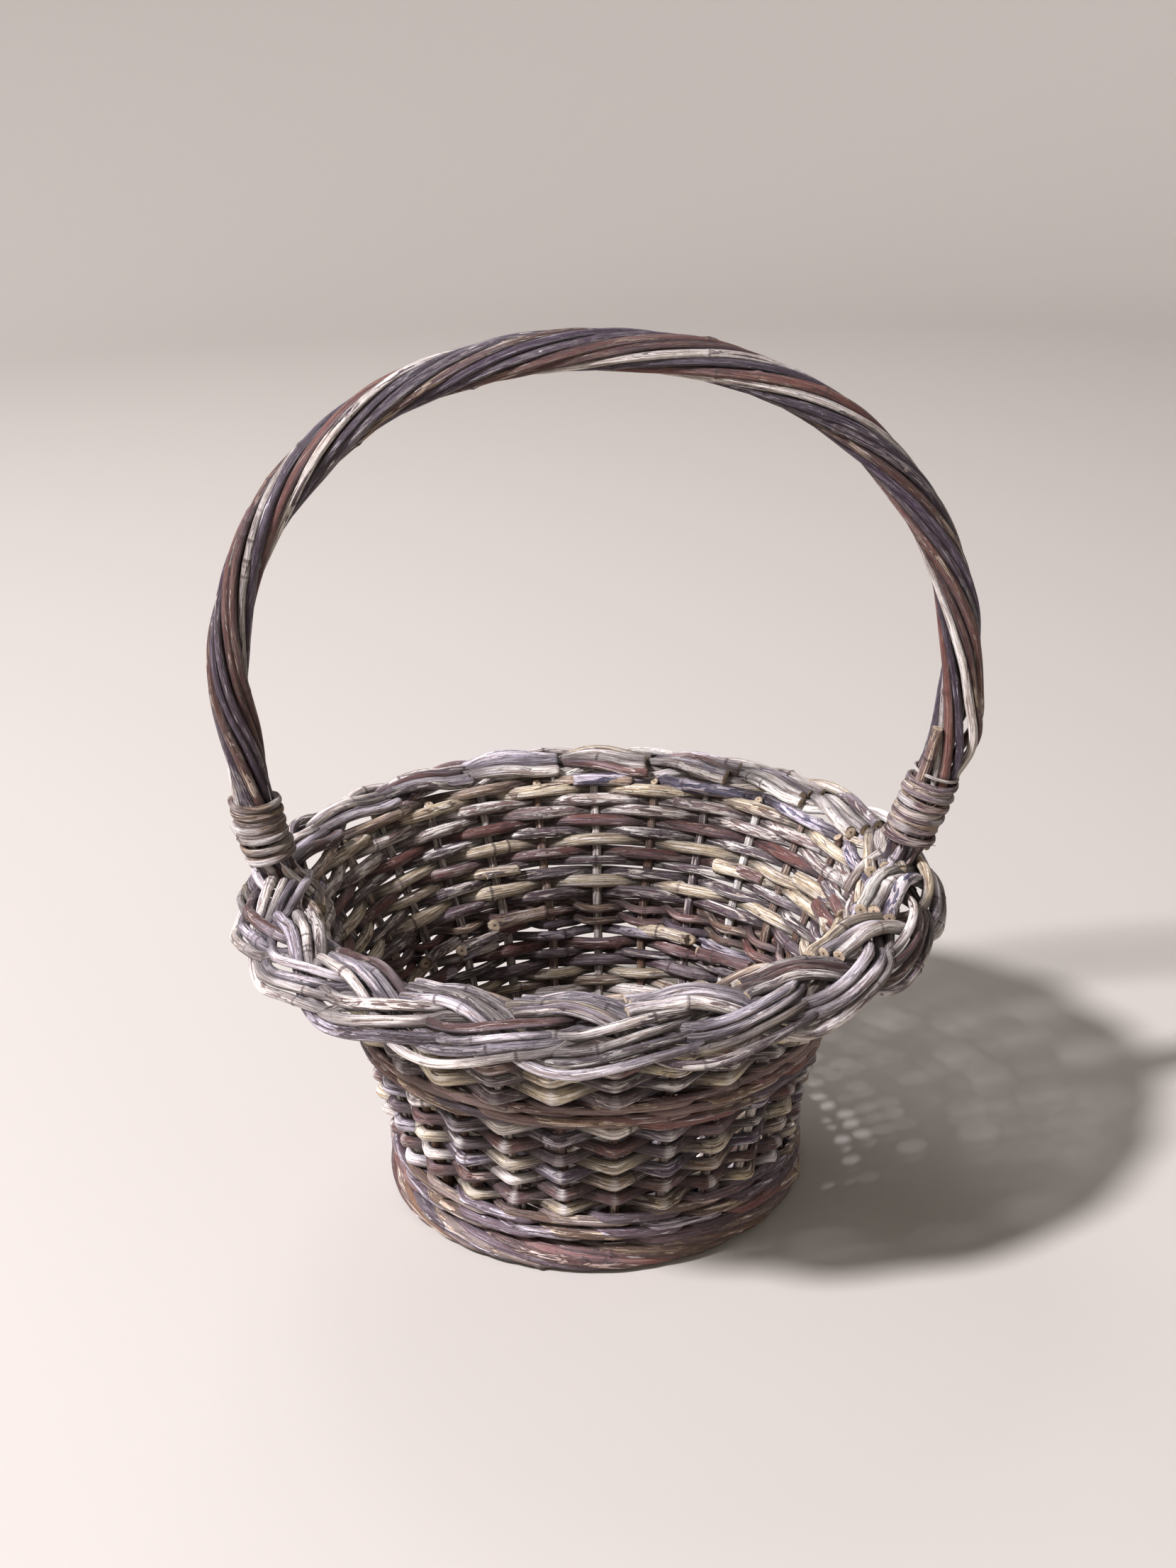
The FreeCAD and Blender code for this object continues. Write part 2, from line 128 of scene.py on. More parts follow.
# Each mix lists (peeled colour, bark colour, share of bark left on, how often).
SIDE_MIX = [
    (CREAM, GREY_BROWN, 0.22, 6),
    (PALE_YELLOW, BROWN, 0.25, 3),
    (WHITE_GREY, PURPLE_BROWN, 0.3, 4),
    (TAN, PINK_BROWN, 0.45, 3),
    (OLIVE, BROWN, 0.35, 3),
    (LAVENDER, DEEP_PURPLE, 0.5, 3),
    (PINK_TAN, RED_BROWN, 0.75, 4),
    (CREAM, PURPLE_BROWN, 0.65, 3),
    (LAVENDER, NAVY, 0.6, 1),
]
WALE_MIX = [
    (PINK_TAN, RED_BROWN, 0.7, 4),
    (TAN, PINK_BROWN, 0.75, 4),
    (TAN, BROWN, 0.6, 2),
    (LAVENDER, PURPLE_BROWN, 0.7, 2),
]
FOOT_MIX = [
    (LAVENDER, PURPLE_BROWN, 0.65, 3),
    (TAN, BROWN, 0.6, 3),
    (PINK_TAN, PURPLE_BROWN, 0.8, 3),
    (TAN, GREY_BROWN, 0.5, 1),
    (PINK_TAN, RED_BROWN, 0.7, 2),
]
RIM_MIX = [
    (WHITE_GREY, LAVENDER, 0.35, 5),
    (CREAM, PINK_BROWN, 0.2, 5),
    (LAVENDER, PURPLE_BROWN, 0.4, 3),
    (CREAM, PURPLE_BROWN, 0.4, 4),
    (PALE_YELLOW, GREY_BROWN, 0.3, 2),
    (PINK_TAN, RED_BROWN, 0.55, 4),
    (WHITE_GREY, NAVY, 0.35, 1),
]
HANDLE_MIX = [
    (LAVENDER, DEEP_PURPLE, 0.75, 4),
    (CREAM, PURPLE_BROWN, 0.35, 4),
    (TAN, RED_BROWN, 0.75, 4),
    (CREAM, DEEP_PURPLE, 0.65, 3),
    (WHITE_GREY, NAVY, 0.75, 1),
    (TAN, DARK_RED, 0.8, 2),
]
STAKE_MIX = [
    (TAN, BROWN, 0.6, 4),
    (CREAM, PURPLE_BROWN, 0.35, 3),
    (TAN, GREY_BROWN, 0.5, 2),
]
BINDING_MIX = [
    (TAN, BROWN, 0.5, 3),
    (TAN, GREY_BROWN, 0.5, 3),
    (PINK_TAN, PURPLE_BROWN, 0.45, 2),
]


UPPER_MIX = [
    (CREAM, PINK_BROWN, 0.35, 3),
    (PALE_YELLOW, BROWN, 0.3, 4),
    (LAVENDER, NAVY, 0.55, 3),
    (LAVENDER, DEEP_PURPLE, 0.8, 3),
    (CREAM, PURPLE_BROWN, 0.55, 3),
    (PINK_TAN, RED_BROWN, 0.6, 3),
    (TAN, BROWN, 0.5, 3),
]


def pick(mix):
    wood, bark, cover, _ = luck.choices(mix, weights=[row[3] for row in mix])[0]
    shade = luck.uniform(0.72, 1.2)
    wood = tuple(min(c * shade, 0.9) for c in wood)
    shade = luck.uniform(0.4, 1.1)
    bark = tuple(c * shade for c in bark)
    return wood, bark, min(max(cover + luck.uniform(-0.18, 0.18), 0.02), 0.97)


# ---------------------------------------------------------------- rods as meshes


def unit(vectors):
    return vectors / np.maximum(np.linalg.norm(vectors, axis=-1, keepdims=True), 1e-9)


def resample(points, spacing):
    """A smooth curve through the points, in even steps."""
    points = np.asarray(points, float)
    padded = np.vstack([2 * points[0] - points[1], points, 2 * points[-1] - points[-2]])
    share = np.linspace(0, 1, 24, endpoint=False)[:, None]
    runs = []
    for a, b, c, d in zip(padded, padded[1:], padded[2:], padded[3:]):
        runs.append(
            0.5
            * (
                2 * b
                + (c - a) * share
                + (2 * a - 5 * b + 4 * c - d) * share**2
                + (3 * b - a - 3 * c + d) * share**3
            )
        )
    runs.append(points[-1:])
    return even_steps(np.vstack(runs), spacing)


def even_steps(points, spacing):
    gone = np.concatenate([[0], np.cumsum(np.linalg.norm(np.diff(points, axis=0), axis=1))])
    steps = max(int(gone[-1] / spacing), 4)
    places = np.linspace(0, gone[-1], steps + 1)
    return np.stack([np.interp(places, gone, points[:, axis]) for axis in range(3)], axis=1)


def wander(count, spacing, wave, size):
    """A slow random wander, for a rod that is never quite true."""
    knots = max(int(count * spacing / wave) + 3, 4)
    values = np.array([luck.uniform(-1, 1) for _ in range(knots)])
    places = np.linspace(0, knots - 1, count)
    before = np.minimum(places.astype(int), knots - 2)
    share = places - before
    share = share * share * (3 - 2 * share)
    return size * (values[before] * (1 - share) + values[before + 1] * share)


def carried_frames(points):
    """Normals carried along a rod without twist."""
    tangents = unit(np.gradient(points, axis=0))
    start = np.array([0.0, 0.0, 1.0])
    if abs(start @ tangents[0]) > 0.95:
        start = np.array([1.0, 0.0, 0.0])
    normals = np.empty_like(points)
    normal = start
    for index, tangent in enumerate(tangents):
        normal = normal - tangent * (normal @ tangent)
        normal = normal / math.sqrt(normal @ normal)
        normals[index] = normal
    return tangents, normals


class Bundle:
    """Many rods gathered into one mesh, each laid in its own strip of the map."""

    def __init__(self, name):
        self.name = name
        self.places, self.skins, self.woods, self.barks = [], [], [], []
        self.habits, self.cuts = [], []
        self.quads, self.fans = [], []
        self.strips = []
        self.count = 0

    def add(
        self, points, radii, tints, sides=10, normals=None, flatness=1.0, wear=None, knots=0,
        ends=(True, True), rough=1.0, cut_slant=None,
    ):
        points = np.asarray(points, float)
        total = len(points)
        radii = np.broadcast_to(np.asarray(radii, float), (total,)).copy()
        wear = np.zeros(total) if wear is None else np.asarray(wear, float).copy()
        wood, bark, cover = tints
        seed = luck.random()
        tangents, carried = carried_frames(points)
        if normals is not None:
            carried = unit(normals - tangents * (normals * tangents).sum(1, keepdims=True))
        across = np.cross(tangents, carried)
        steps = np.linalg.norm(np.diff(points, axis=0), axis=1)
        along = np.concatenate([[0], np.cumsum(steps)])
        turns = np.linspace(0, 2 * math.pi, sides, endpoint=False)
        shape = np.ones((total, sides))
        phase = [luck.uniform(0, 6.28) for _ in range(3)]
        shape += rough * 0.05 * np.cos(2 * turns + phase[0] + along[:, None] / 17)
        shape += rough * 0.04 * np.cos(3 * turns + phase[1] - along[:, None] / 8)
        shape += rough * 0.02 * np.cos(turns + phase[2] + along[:, None] / 3.1)
        for _ in range(knots):
            place = luck.uniform(along[-1] * 0.04, along[-1] * 0.96)
            side = luck.uniform(0, 2 * math.pi)
            lump = np.exp(-(((along - place) / 1.5) ** 2))[:, None]
            shape += 0.3 * lump * np.clip(np.cos(turns - side), 0, 1) ** 2
            shape += 0.07 * np.exp(-(((along - place) / 1.0) ** 2))[:, None]
            wear -= 0.8 * np.exp(-(((along - place) / 0.8) ** 2))
        ring = (
            np.cos(turns)[None, :, None] * carried[:, None, :] * flatness
            + np.sin(turns)[None, :, None] * across[:, None, :]
        )
        body = points[:, None, :] + ring * (radii[:, None] * shape)[:, :, None]
        first = self.count
        skin = (
            np.stack(
                [
                    np.broadcast_to(np.cos(turns), (total, sides)),
                    np.broadcast_to(np.sin(turns), (total, sides)),
                    np.broadcast_to(along[:, None], (total, sides)),
                ],
                axis=2,
            )
        )
        self.places.append(body.reshape(-1, 3))
        self.skins.append(skin.reshape(-1, 3))
        self.cuts.append(np.zeros(total * sides))
        wear_all = [np.repeat(wear, sides)]
        self.count += total * sides
        ring_index = first + np.arange(total)[:, None] * sides + np.arange(sides)[None, :]
        self.link(ring_index, steps, radii[:-1])
        for end, cut in zip((0, -1), ends):
            heading = -tangents[0] if end == 0 else tangents[-1]
            centre = points[end]
            slant = unit(heading + 0.35 * carried[end] * luck.uniform(-1, 1)) if cut else heading
            if cut_slant is not None:
                slant = unit(heading + np.asarray(cut_slant, float))
            levels = ((0.9, 0.05), (0.5, 0.09)) if cut else ((0.7, 0.5), (0.35, 0.8))
            rows = [ring_index[end]]
            for share, reach in levels:
                spread = (body[end] - centre) * share
                spread = spread - heading[None, :] * ((spread @ slant) / (heading @ slant))[:, None]
                self.places.append(centre + spread + heading * reach * radii[end])
                self.skins.append(
                    np.stack(
                        [
                            np.cos(turns) * share,
                            np.sin(turns) * share,
                            np.full(sides, along[end]),
                        ],
                        axis=1,
                    )
                )
                self.cuts.append(np.full(sides, 1.0 if cut else 0.0))
                wear_all.append(np.zeros(sides))
                rows.append(self.count + np.arange(sides))
                self.count += sides
            self.places.append((centre + heading * (levels[-1][1] + 0.03) * radii[end])[None, :])
            self.skins.append(np.array([[0, 0, along[end]]]))
            self.cuts.append(np.array([1.0 if cut else 0.0]))
            wear_all.append(np.zeros(1))
            tip = self.count
            self.count += 1
            chain = np.array(rows)
            if end == 0:
                chain = chain[:, ::-1]
            reach = np.full(len(rows) - 1, radii[end] * 0.5)
            self.link(chain, reach, np.full(len(rows) - 1, radii[end]))
            self.cap(chain[-1], tip, radii[end])
        made = self.count - first
        self.woods.append(np.broadcast_to(np.array([*wood, 1.0]), (made, 4)))
        self.barks.append(np.broadcast_to(np.array([*bark, 1.0]), (made, 4)))
        self.habits.append(
            np.stack([np.full(made, seed), np.full(made, cover), np.concatenate(wear_all)], axis=1)
        )

    def link(self, rings, lengths, radii):
        """Quads between each ring and the next, with the strip each pair takes."""
        for a, b, length, radius in zip(rings, rings[1:], lengths, radii):
            self.quads.append(np.stack([a, np.roll(a, -1), np.roll(b, -1), b], axis=1))
            self.strips.append((max(length, 0.3), radius, len(a)))

    def cap(self, ring, tip, radius):
        self.fans.append((ring, tip, len(self.strips)))
        self.strips.append((radius * 0.5, radius, len(ring)))
        self.quads.append(None)

    def build(self, material, slot_name, replaced, crevice):
        places = np.concatenate(self.places) * MM
        lengths = np.array([strip[0] for strip in self.strips])
        girth = 2 * math.pi * max(np.percentile([strip[1] for strip in self.strips], 90), 0.3)
        rows = max(int(math.ceil(math.sqrt(lengths.sum() / girth) * 1.02)), 1)
        width = lengths.sum() / rows + lengths.max() * 2 + 1
        row, used = 0, 0.0
        left = np.empty(len(lengths))
        level = np.empty(len(lengths), int)
        for index, length in enumerate(lengths):
            if used + length > width:
                row, used = row + 1, 0.0
            left[index], level[index] = used / width, row
            used += length
        rows = row + 1
        right = left + lengths / width
        low_edge = (level + 0.07) / rows
        high_edge = (level + 0.93) / rows
        corners, totals, uvs = [], [], []
        fans = {index: (ring, tip) for ring, tip, index in self.fans}
        for index, quads in enumerate(self.quads):
            sides = self.strips[index][2]
            v = np.linspace(low_edge[index], high_edge[index], sides + 1)
            u0, u1 = left[index], right[index]
            if quads is None:
                ring, tip = fans[index]
                faces = np.stack([ring, np.roll(ring, -1), np.full(sides, tip)], axis=1)
                uv = np.stack(
                    [
                        np.stack([np.full(sides, u0), v[:-1]], axis=1),
                        np.stack([np.full(sides, u0), v[1:]], axis=1),
                        np.stack([np.full(sides, u1), (v[:-1] + v[1:]) / 2], axis=1),
                    ],
                    axis=1,
                )
            else:
                faces = quads
                uv = np.stack(
                    [
                        np.stack([np.full(sides, u0), v[:-1]], axis=1),
                        np.stack([np.full(sides, u0), v[1:]], axis=1),
                        np.stack([np.full(sides, u1), v[1:]], axis=1),
                        np.stack([np.full(sides, u1), v[:-1]], axis=1),
                    ],
                    axis=1,
                )
            corners.append(faces.ravel())
            totals.append(np.full(sides, faces.shape[1]))
            uvs.append(uv.reshape(-1, 2))
        corners = np.concatenate(corners).astype(np.int32)
        totals = np.concatenate(totals).astype(np.int32)
        starts = np.concatenate([[0], np.cumsum(totals)[:-1]]).astype(np.int32)
        mesh = bpy.data.meshes.new(self.name)
        mesh.vertices.add(len(places))
        mesh.vertices.foreach_set("co", places.astype(np.float32).ravel())
        mesh.loops.add(len(corners))
        mesh.loops.foreach_set("vertex_index", corners)
        mesh.polygons.add(len(totals))
        mesh.polygons.foreach_set("loop_start", starts)
        mesh.polygons.foreach_set("use_smooth", totals == 4)
        mesh.update(calc_edges=True)
        layer = mesh.uv_layers.new(name="OFBake")
        layer.uv.foreach_set("vector", np.concatenate(uvs).astype(np.float32).ravel())
        for name, kind, field, values in (
            ("skin", "FLOAT_VECTOR", "vector", self.skins),
            ("habit", "FLOAT_VECTOR", "vector", self.habits),
            ("wood_tint", "FLOAT_COLOR", "color", self.woods),
            ("bark_tint", "FLOAT_COLOR", "color", self.barks),
            ("cut_end", "FLOAT", "value", self.cuts),
            ("crevice", "FLOAT", "value", [crevice(places / MM)]),
        ):
            attribute = mesh.attributes.new(name, kind, "POINT")
            attribute.data.foreach_set(field, np.concatenate(values).astype(np.float32).ravel())
        mesh.validate(clean_customdata=False)
        mesh.materials.append(material)
        piece = bpy.data.objects.new(self.name, mesh)
        bpy.context.scene.collection.objects.link(piece)
        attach(piece, "root")
        if replaced:
            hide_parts(*replaced)
        return piece


# ---------------------------------------------------------------- where painted shade darkens the crevices


def eased(value, start, end):
    share = np.clip((value - start) / (end - start), 0, 1)
    return share * share * (3 - 2 * share)


def wall_crevice(places):
    """How deep a point lies in the weave: near the line of stakes, seen from either side; it sets the
    painted crevice shade.
    """
    out = np.hypot(places[:, 0], places[:, 1]) - wall_line(places[:, 2])
    return 1 - eased(np.abs(out), 1.2, 5.2)


def foot_crevice(places):
    # Painted shade: darker deep in the foot border and close to the floor, where shade falls.
    out = np.hypot(places[:, 0], places[:, 1]) - foot_line
    deep = 1 - eased(np.abs(out), 2.2, 6.4)
    return np.maximum(deep, 1 - eased(places[:, 2], 0.0, 2.5))


def base_crevice(places):
    # Painted shade: darker towards the middle of the base weave, between its layers.
    middle = (base_low + base_high) / 2
    return 1 - eased(np.abs(places[:, 2] - middle), 0.5, 3.6)


def rim_crevice(places):
    """Depth inside the plait, measured from the middle of its flattened section; it sets the painted crevice
    shade.
    """
    radius = np.hypot(places[:, 0], places[:, 1]) - RIM_MIDDLE_RADIUS
    height = places[:, 2] - RIM_MIDDLE_HEIGHT + RIM_SLOPE * radius
    return 1 - eased(np.hypot(radius / 20, height / 6.4), 0.55, 1.0)


def handle_crevice(places):
    """Depth between the twisted rods, measured from the bow's centre line; it sets the painted crevice
    shade.
    """
    sample = HANDLE_LINE[::3]
    nearest = np.empty(len(places))
    for start in range(0, len(places), 4000):
        part = places[start : start + 4000]
        gaps = part[:, None, :] - sample[None, :, :]
        nearest[start : start + 4000] = np.sqrt((gaps**2).sum(2).min(1))
    return 1 - eased(nearest, 6.2, 8.9)


def clear(places):
    return np.zeros(len(places))


# ---------------------------------------------------------------- how willow looks


def shader_group(name, inputs, outputs):
    group = bpy.data.node_groups.new(name, "ShaderNodeTree")
    for label, kind, value in inputs:
        socket = group.interface.new_socket(label, in_out="INPUT", socket_type=kind)
        if value is not None:
            socket.default_value = value
    for label, kind in outputs:
        group.interface.new_socket(label, in_out="OUTPUT", socket_type=kind)
    return group, group.nodes.new("NodeGroupInput"), group.nodes.new("NodeGroupOutput")


class Wiring:
    """Short ways to place and join nodes in one tree."""

    def __init__(self, tree):
        self.tree = tree

    def put(self, target, value):
        if isinstance(value, bpy.types.NodeSocket):
            self.tree.links.new(value, target)
        elif value is not None:
            target.default_value = value

    def math(self, operation, first, second=None, clamp=False):
        node = self.tree.nodes.new("ShaderNodeMath")
        node.operation = operation
        node.use_clamp = clamp
        self.put(node.inputs[0], first)
        self.put(node.inputs[1], second)
        return node.outputs[0]

    def vector(self, operation, first, second):
        node = self.tree.nodes.new("ShaderNodeVectorMath")
        node.operation = operation
        self.put(node.inputs[0], first)
        self.put(node.inputs[1], second)
        return node.outputs["Value" if operation == "LENGTH" else "Vector"]

    def noise(self, vector, detail=3.0, roughness=0.55, distortion=0.0):
        node = self.tree.nodes.new("ShaderNodeTexNoise")
        self.put(node.inputs["Vector"], vector)
        node.inputs["Scale"].default_value = 1.0
        node.inputs["Detail"].default_value = detail
        node.inputs["Roughness"].default_value = roughness
        node.inputs["Distortion"].default_value = distortion
        return node.outputs["Fac"]

    def blend(self, share, first, second, kind="MIX"):
        node = self.tree.nodes.new("ShaderNodeMix")
        node.data_type = "RGBA"
        node.blend_type = kind
        node.clamp_factor = True
        self.put(node.inputs["Factor"], share)
        self.put(node.inputs[6], first)
        self.put(node.inputs[7], second)
        return node.outputs[2]

    def band(self, value, start, end, low_value=0.0, high_value=1.0):
        node = self.tree.nodes.new("ShaderNodeMapRange")
        node.interpolation_type = "SMOOTHSTEP"
        self.put(node.inputs["Value"], value)
        self.put(node.inputs["From Min"], start)
        self.put(node.inputs["From Max"], end)
        self.put(node.inputs["To Min"], low_value)
        self.put(node.inputs["To Max"], high_value)
        return node.outputs["Result"]


def make_willow_skin():
    """Peeled wood and patches of bark along a rod, with its grain, scars and weathering, and painted shade
    darkening its crevices.
    """
    group, given, out = shader_group(
        "willow_skin",
        [
            ("Skin", "NodeSocketVector", None),
            ("Habit", "NodeSocketVector", None),
            ("Peeled Colour", "NodeSocketColor", (0.6, 0.5, 0.4, 1)),
            ("Bark Colour", "NodeSocketColor", (0.2, 0.1, 0.08, 1)),
            ("Crevice", "NodeSocketFloat", 0.0),
            ("Grain", "NodeSocketFloat", 1.0),
            ("Bloom", "NodeSocketFloat", 0.3),
        ],
        [
            ("Colour", "NodeSocketColor"),
            ("Roughness", "NodeSocketFloat"),
            ("Height", "NodeSocketFloat"),
        ],
    )
    w = Wiring(group)
    habit = group.nodes.new("ShaderNodeSeparateXYZ")
    w.put(habit.inputs[0], given.outputs["Habit"])
    seed, cover, wear = habit.outputs
    shift = group.nodes.new("ShaderNodeCombineXYZ")
    w.put(shift.inputs[0], w.math("MULTIPLY", seed, 31.0))
    w.put(shift.inputs[1], w.math("MULTIPLY", seed, 57.0))
    w.put(shift.inputs[2], w.math("MULTIPLY", seed, 113.0))

    def along(round_scale, length_scale):
        scaled = w.vector("MULTIPLY", given.outputs["Skin"], (round_scale, round_scale, length_scale))
        return w.vector("ADD", scaled, shift.outputs[0])

    fine = w.noise(along(5.5, 0.07), detail=4.0, roughness=0.65)
    coarse = w.noise(along(2.2, 0.05), detail=3.0)
    mottle = w.noise(along(1.6, 0.22), detail=5.0, roughness=0.65)
    patch = w.noise(along(1.15, 0.06), detail=4.0, roughness=0.6, distortion=1.1)
    weather = w.noise(along(0.9, 0.03), detail=2.0)
    specks = w.noise(along(3.4, 0.9), detail=2.0)
    edge = w.math("SUBTRACT", 0.72, w.math("MULTIPLY", cover, 0.44))
    gap = w.math("SUBTRACT", patch, edge)
    bark_mask = w.band(gap, -0.006, 0.006)
    rind = w.math("SUBTRACT", 1.0, w.band(w.math("ABSOLUTE", gap), 0.004, 0.022))

    streak = w.band(fine, 0.42, 0.53)
    wood_dark = w.blend(1.0, given.outputs["Peeled Colour"], (0.34, 0.27, 0.24, 1), "MULTIPLY")
    wood = w.blend(
        w.math("MULTIPLY", w.math("SUBTRACT", 1.0, streak), 0.8), given.outputs["Peeled Colour"], wood_dark
    )
    wood = w.blend(w.band(fine, 0.54, 0.61, 0.0, 0.7), wood, (0.86, 0.83, 0.82, 1))
    wood = w.blend(w.band(coarse, 0.55, 0.61, 0.0, 0.75), wood, (0.17, 0.115, 0.085, 1))
    wood = w.blend(w.band(mottle, 0.54, 0.72, 0.0, 0.65), wood, (0.10, 0.07, 0.062, 1))
    bark_light = w.blend(0.55, given.outputs["Bark Colour"], given.outputs["Peeled Colour"])
    bark = w.blend(w.band(mottle, 0.48, 0.75, 0.0, 0.45), given.outputs["Bark Colour"], bark_light)
    bark = w.blend(w.band(fine, 0.53, 0.6, 0.0, 0.65), bark, bark_light)
    bark = w.blend(w.band(coarse, 0.53, 0.6, 0.0, 0.7), bark, (0.035, 0.022, 0.026, 1))
    bark = w.blend(w.band(specks, 0.7, 0.76, 0.0, 0.6), bark, (0.5, 0.42, 0.38, 1))
    colour = w.blend(bark_mask, wood, bark)
    colour = w.blend(w.math("MULTIPLY", rind, 0.5), colour, (0.07, 0.045, 0.04, 1))
    bloom = w.math("MULTIPLY", w.band(weather, 0.46, 0.66), given.outputs["Bloom"])
    colour = w.blend(bloom, colour, (0.55, 0.50, 0.56, 1))
    frayed = w.math("MULTIPLY", w.band(wear, 0.05, 0.9), w.band(fine, 0.36, 0.56, 0.25, 0.95))
    colour = w.blend(frayed, colour, (0.72, 0.68, 0.64, 1))
    ring_mask = w.band(w.math("MULTIPLY", wear, -1.0), 0.15, 0.7, 0.0, 0.8)
    colour = w.blend(ring_mask, colour, (0.045, 0.026, 0.024, 1))
    colour = w.blend(w.band(specks, 0.29, 0.35, 0.75, 0.0), colour, (0.06, 0.04, 0.04, 1))
    # Painted shade: the colour is darkened to near black deep in the crevices, where shade falls between the
    # rods.
    painted_crevice_shade = w.math("MULTIPLY", given.outputs["Crevice"], w.band(mottle, 0.25, 0.6, 1.0, 0.82))
    colour = w.blend(painted_crevice_shade, colour, (0.022, 0.013, 0.014, 1))
    w.put(out.inputs["Colour"], colour)
    roughness = w.math("SUBTRACT", 0.66, w.math("MULTIPLY", bark_mask, 0.22))
    roughness = w.math("ADD", roughness, w.math("MULTIPLY", w.math("SUBTRACT", mottle, 0.5), 0.45))
    w.put(out.inputs["Roughness"], w.math("ADD", roughness, w.math("MULTIPLY", frayed, 0.2), clamp=True))
    height = w.math("MULTIPLY", fine, given.outputs["Grain"])
    height = w.math("ADD", height, w.math("MULTIPLY", bark_mask, 0.3))
    height = w.math("ADD", height, w.math("MULTIPLY", coarse, 0.7))
    height = w.math("ADD", height, w.math("MULTIPLY", mottle, 0.5))
    height = w.math("SUBTRACT", height, w.math("MULTIPLY", rind, 0.25))
    w.put(out.inputs["Height"], height)
    return group


def make_cut_face():
    """The sawn end of a rod: a dark pith, pale wood with faint rings, and a dark rind."""
    group, given, out = shader_group(
        "cut_face",
        [("Skin", "NodeSocketVector", None), ("Habit", "NodeSocketVector", None)],
        [("Colour", "NodeSocketColor")],
    )
    w = Wiring(group)
    flat = w.vector("MULTIPLY", given.outputs["Skin"], (1.0, 1.0, 0.0))
    across = w.vector("LENGTH", flat, None)
    ripple = w.noise(w.vector("MULTIPLY", given.outputs["Skin"], (3.0, 3.0, 0.0)), detail=3.0)
    rings = w.math("SINE", w.math("MULTIPLY", w.math("ADD", across, w.math("MULTIPLY", ripple, 0.2)), 24.0))
    wood = w.blend(w.band(rings, -1.0, 1.0, 0.0, 0.5), (0.60, 0.48, 0.33, 1), (0.40, 0.29, 0.19, 1))
    wood = w.blend(w.band(ripple, 0.5, 0.7, 0.0, 0.5), wood, (0.25, 0.17, 0.12, 1))
    wood = w.blend(w.band(across, 0.16, 0.24, 1.0, 0.0), wood, (0.13, 0.08, 0.05, 1))
    wood = w.blend(w.band(across, 0.84, 0.93, 0.0, 0.85), wood, (0.09, 0.055, 0.045, 1))
    w.put(out.inputs["Colour"], wood)
    return group


WILLOW_SKIN = make_willow_skin()
CUT_FACE = make_cut_face()


def willow(name, grain, bloom, bump, gloss, crevice_shade_strength):
    """A willow finish: the same skin on every rod, with its own grain, bloom, gloss and strength of painted
    crevice shade.
    """
    material = bpy.data.materials.new(name)
    material.use_nodes = True
    tree = material.node_tree
    tree.nodes.clear()
    w = Wiring(tree)
    read = {}
    for label in ("skin", "habit", "wood_tint", "bark_tint", "cut_end", "crevice"):
        node = tree.nodes.new("ShaderNodeAttribute")
        node.attribute_name = label
        read[label] = node
    skin = tree.nodes.new("ShaderNodeGroup")
    skin.node_tree = WILLOW_SKIN
    w.put(skin.inputs["Skin"], read["skin"].outputs["Vector"])
    w.put(skin.inputs["Habit"], read["habit"].outputs["Vector"])
    w.put(skin.inputs["Peeled Colour"], read["wood_tint"].outputs["Color"])
    w.put(skin.inputs["Bark Colour"], read["bark_tint"].outputs["Color"])
    # The crevice depth, scaled for each material, sets how much painted shade darkens the colour.
    w.put(skin.inputs["Crevice"], w.math("MULTIPLY", read["crevice"].outputs["Fac"], crevice_shade_strength))
    skin.inputs["Grain"].default_value = grain
    skin.inputs["Bloom"].default_value = bloom
    face = tree.nodes.new("ShaderNodeGroup")
    face.node_tree = CUT_FACE
    w.put(face.inputs["Skin"], read["skin"].outputs["Vector"])
    w.put(face.inputs["Habit"], read["habit"].outputs["Vector"])
    shader = tree.nodes.new("ShaderNodeBsdfPrincipled")
    colour = w.blend(read["cut_end"].outputs["Fac"], skin.outputs["Colour"], face.outputs["Colour"])
    w.put(shader.inputs["Base Color"], colour)
    w.put(shader.inputs["Roughness"], skin.outputs["Roughness"])
    shader.inputs["Specular IOR Level"].default_value = gloss
    raised = tree.nodes.new("ShaderNodeBump")
    raised.inputs["Strength"].default_value = bump
    raised.inputs["Distance"].default_value = 0.0010
    w.put(raised.inputs["Height"], skin.outputs["Height"])
    w.put(shader.inputs["Normal"], raised.outputs["Normal"])
    output = tree.nodes.new("ShaderNodeOutputMaterial")
    w.put(output.inputs["Surface"], shader.outputs["BSDF"])
    return material


SIDE_WILLOW = willow("side_weave_willow", 1.1, 0.12, 0.9, 0.45, 0.85)
WALE_WILLOW = willow("wale_willow", 0.9, 0.08, 0.8, 0.5, 0.8)
RIM_WILLOW = willow("rim_willow", 1.0, 0.28, 0.9, 0.45, 0.85)
HANDLE_WILLOW = willow("handle_willow", 1.0, 0.06, 0.9, 0.5, 0.9)
STAKE_WILLOW = willow("stake_willow", 0.9, 0.1, 0.8, 0.35, 0.35)
BINDING_WILLOW = willow("binding_willow", 1.4, 0.15, 1.0, 0.35, 0.5)
BASE_WILLOW = willow("base_willow", 0.9, 0.15, 0.8, 0.35, 0.8)


# ---------------------------------------------------------------- the woven wall


def round_the_wall(place, lateral, height):
    """Points on the wall: place counts stakes, lateral is out from the line of stakes."""
    angle = FIRST_STAKE + place * STAKE_PITCH
    radius = wall_line(height) + lateral
    return np.stack([radius * np.cos(angle), radius * np.sin(angle), height], axis=1)


def kinked(place):
    """From 1 outside a stake, with a sharp kink there, to -1 inside the next, in a smooth arc."""
    gap = np.abs((place + 1) % 2 - 1)
    soft = np.sqrt(gap**2 + 0.05**2) - 0.05
    return 1 - 2 * np.sin(np.pi / 2 * np.clip(soft / 0.951, 0, 1))


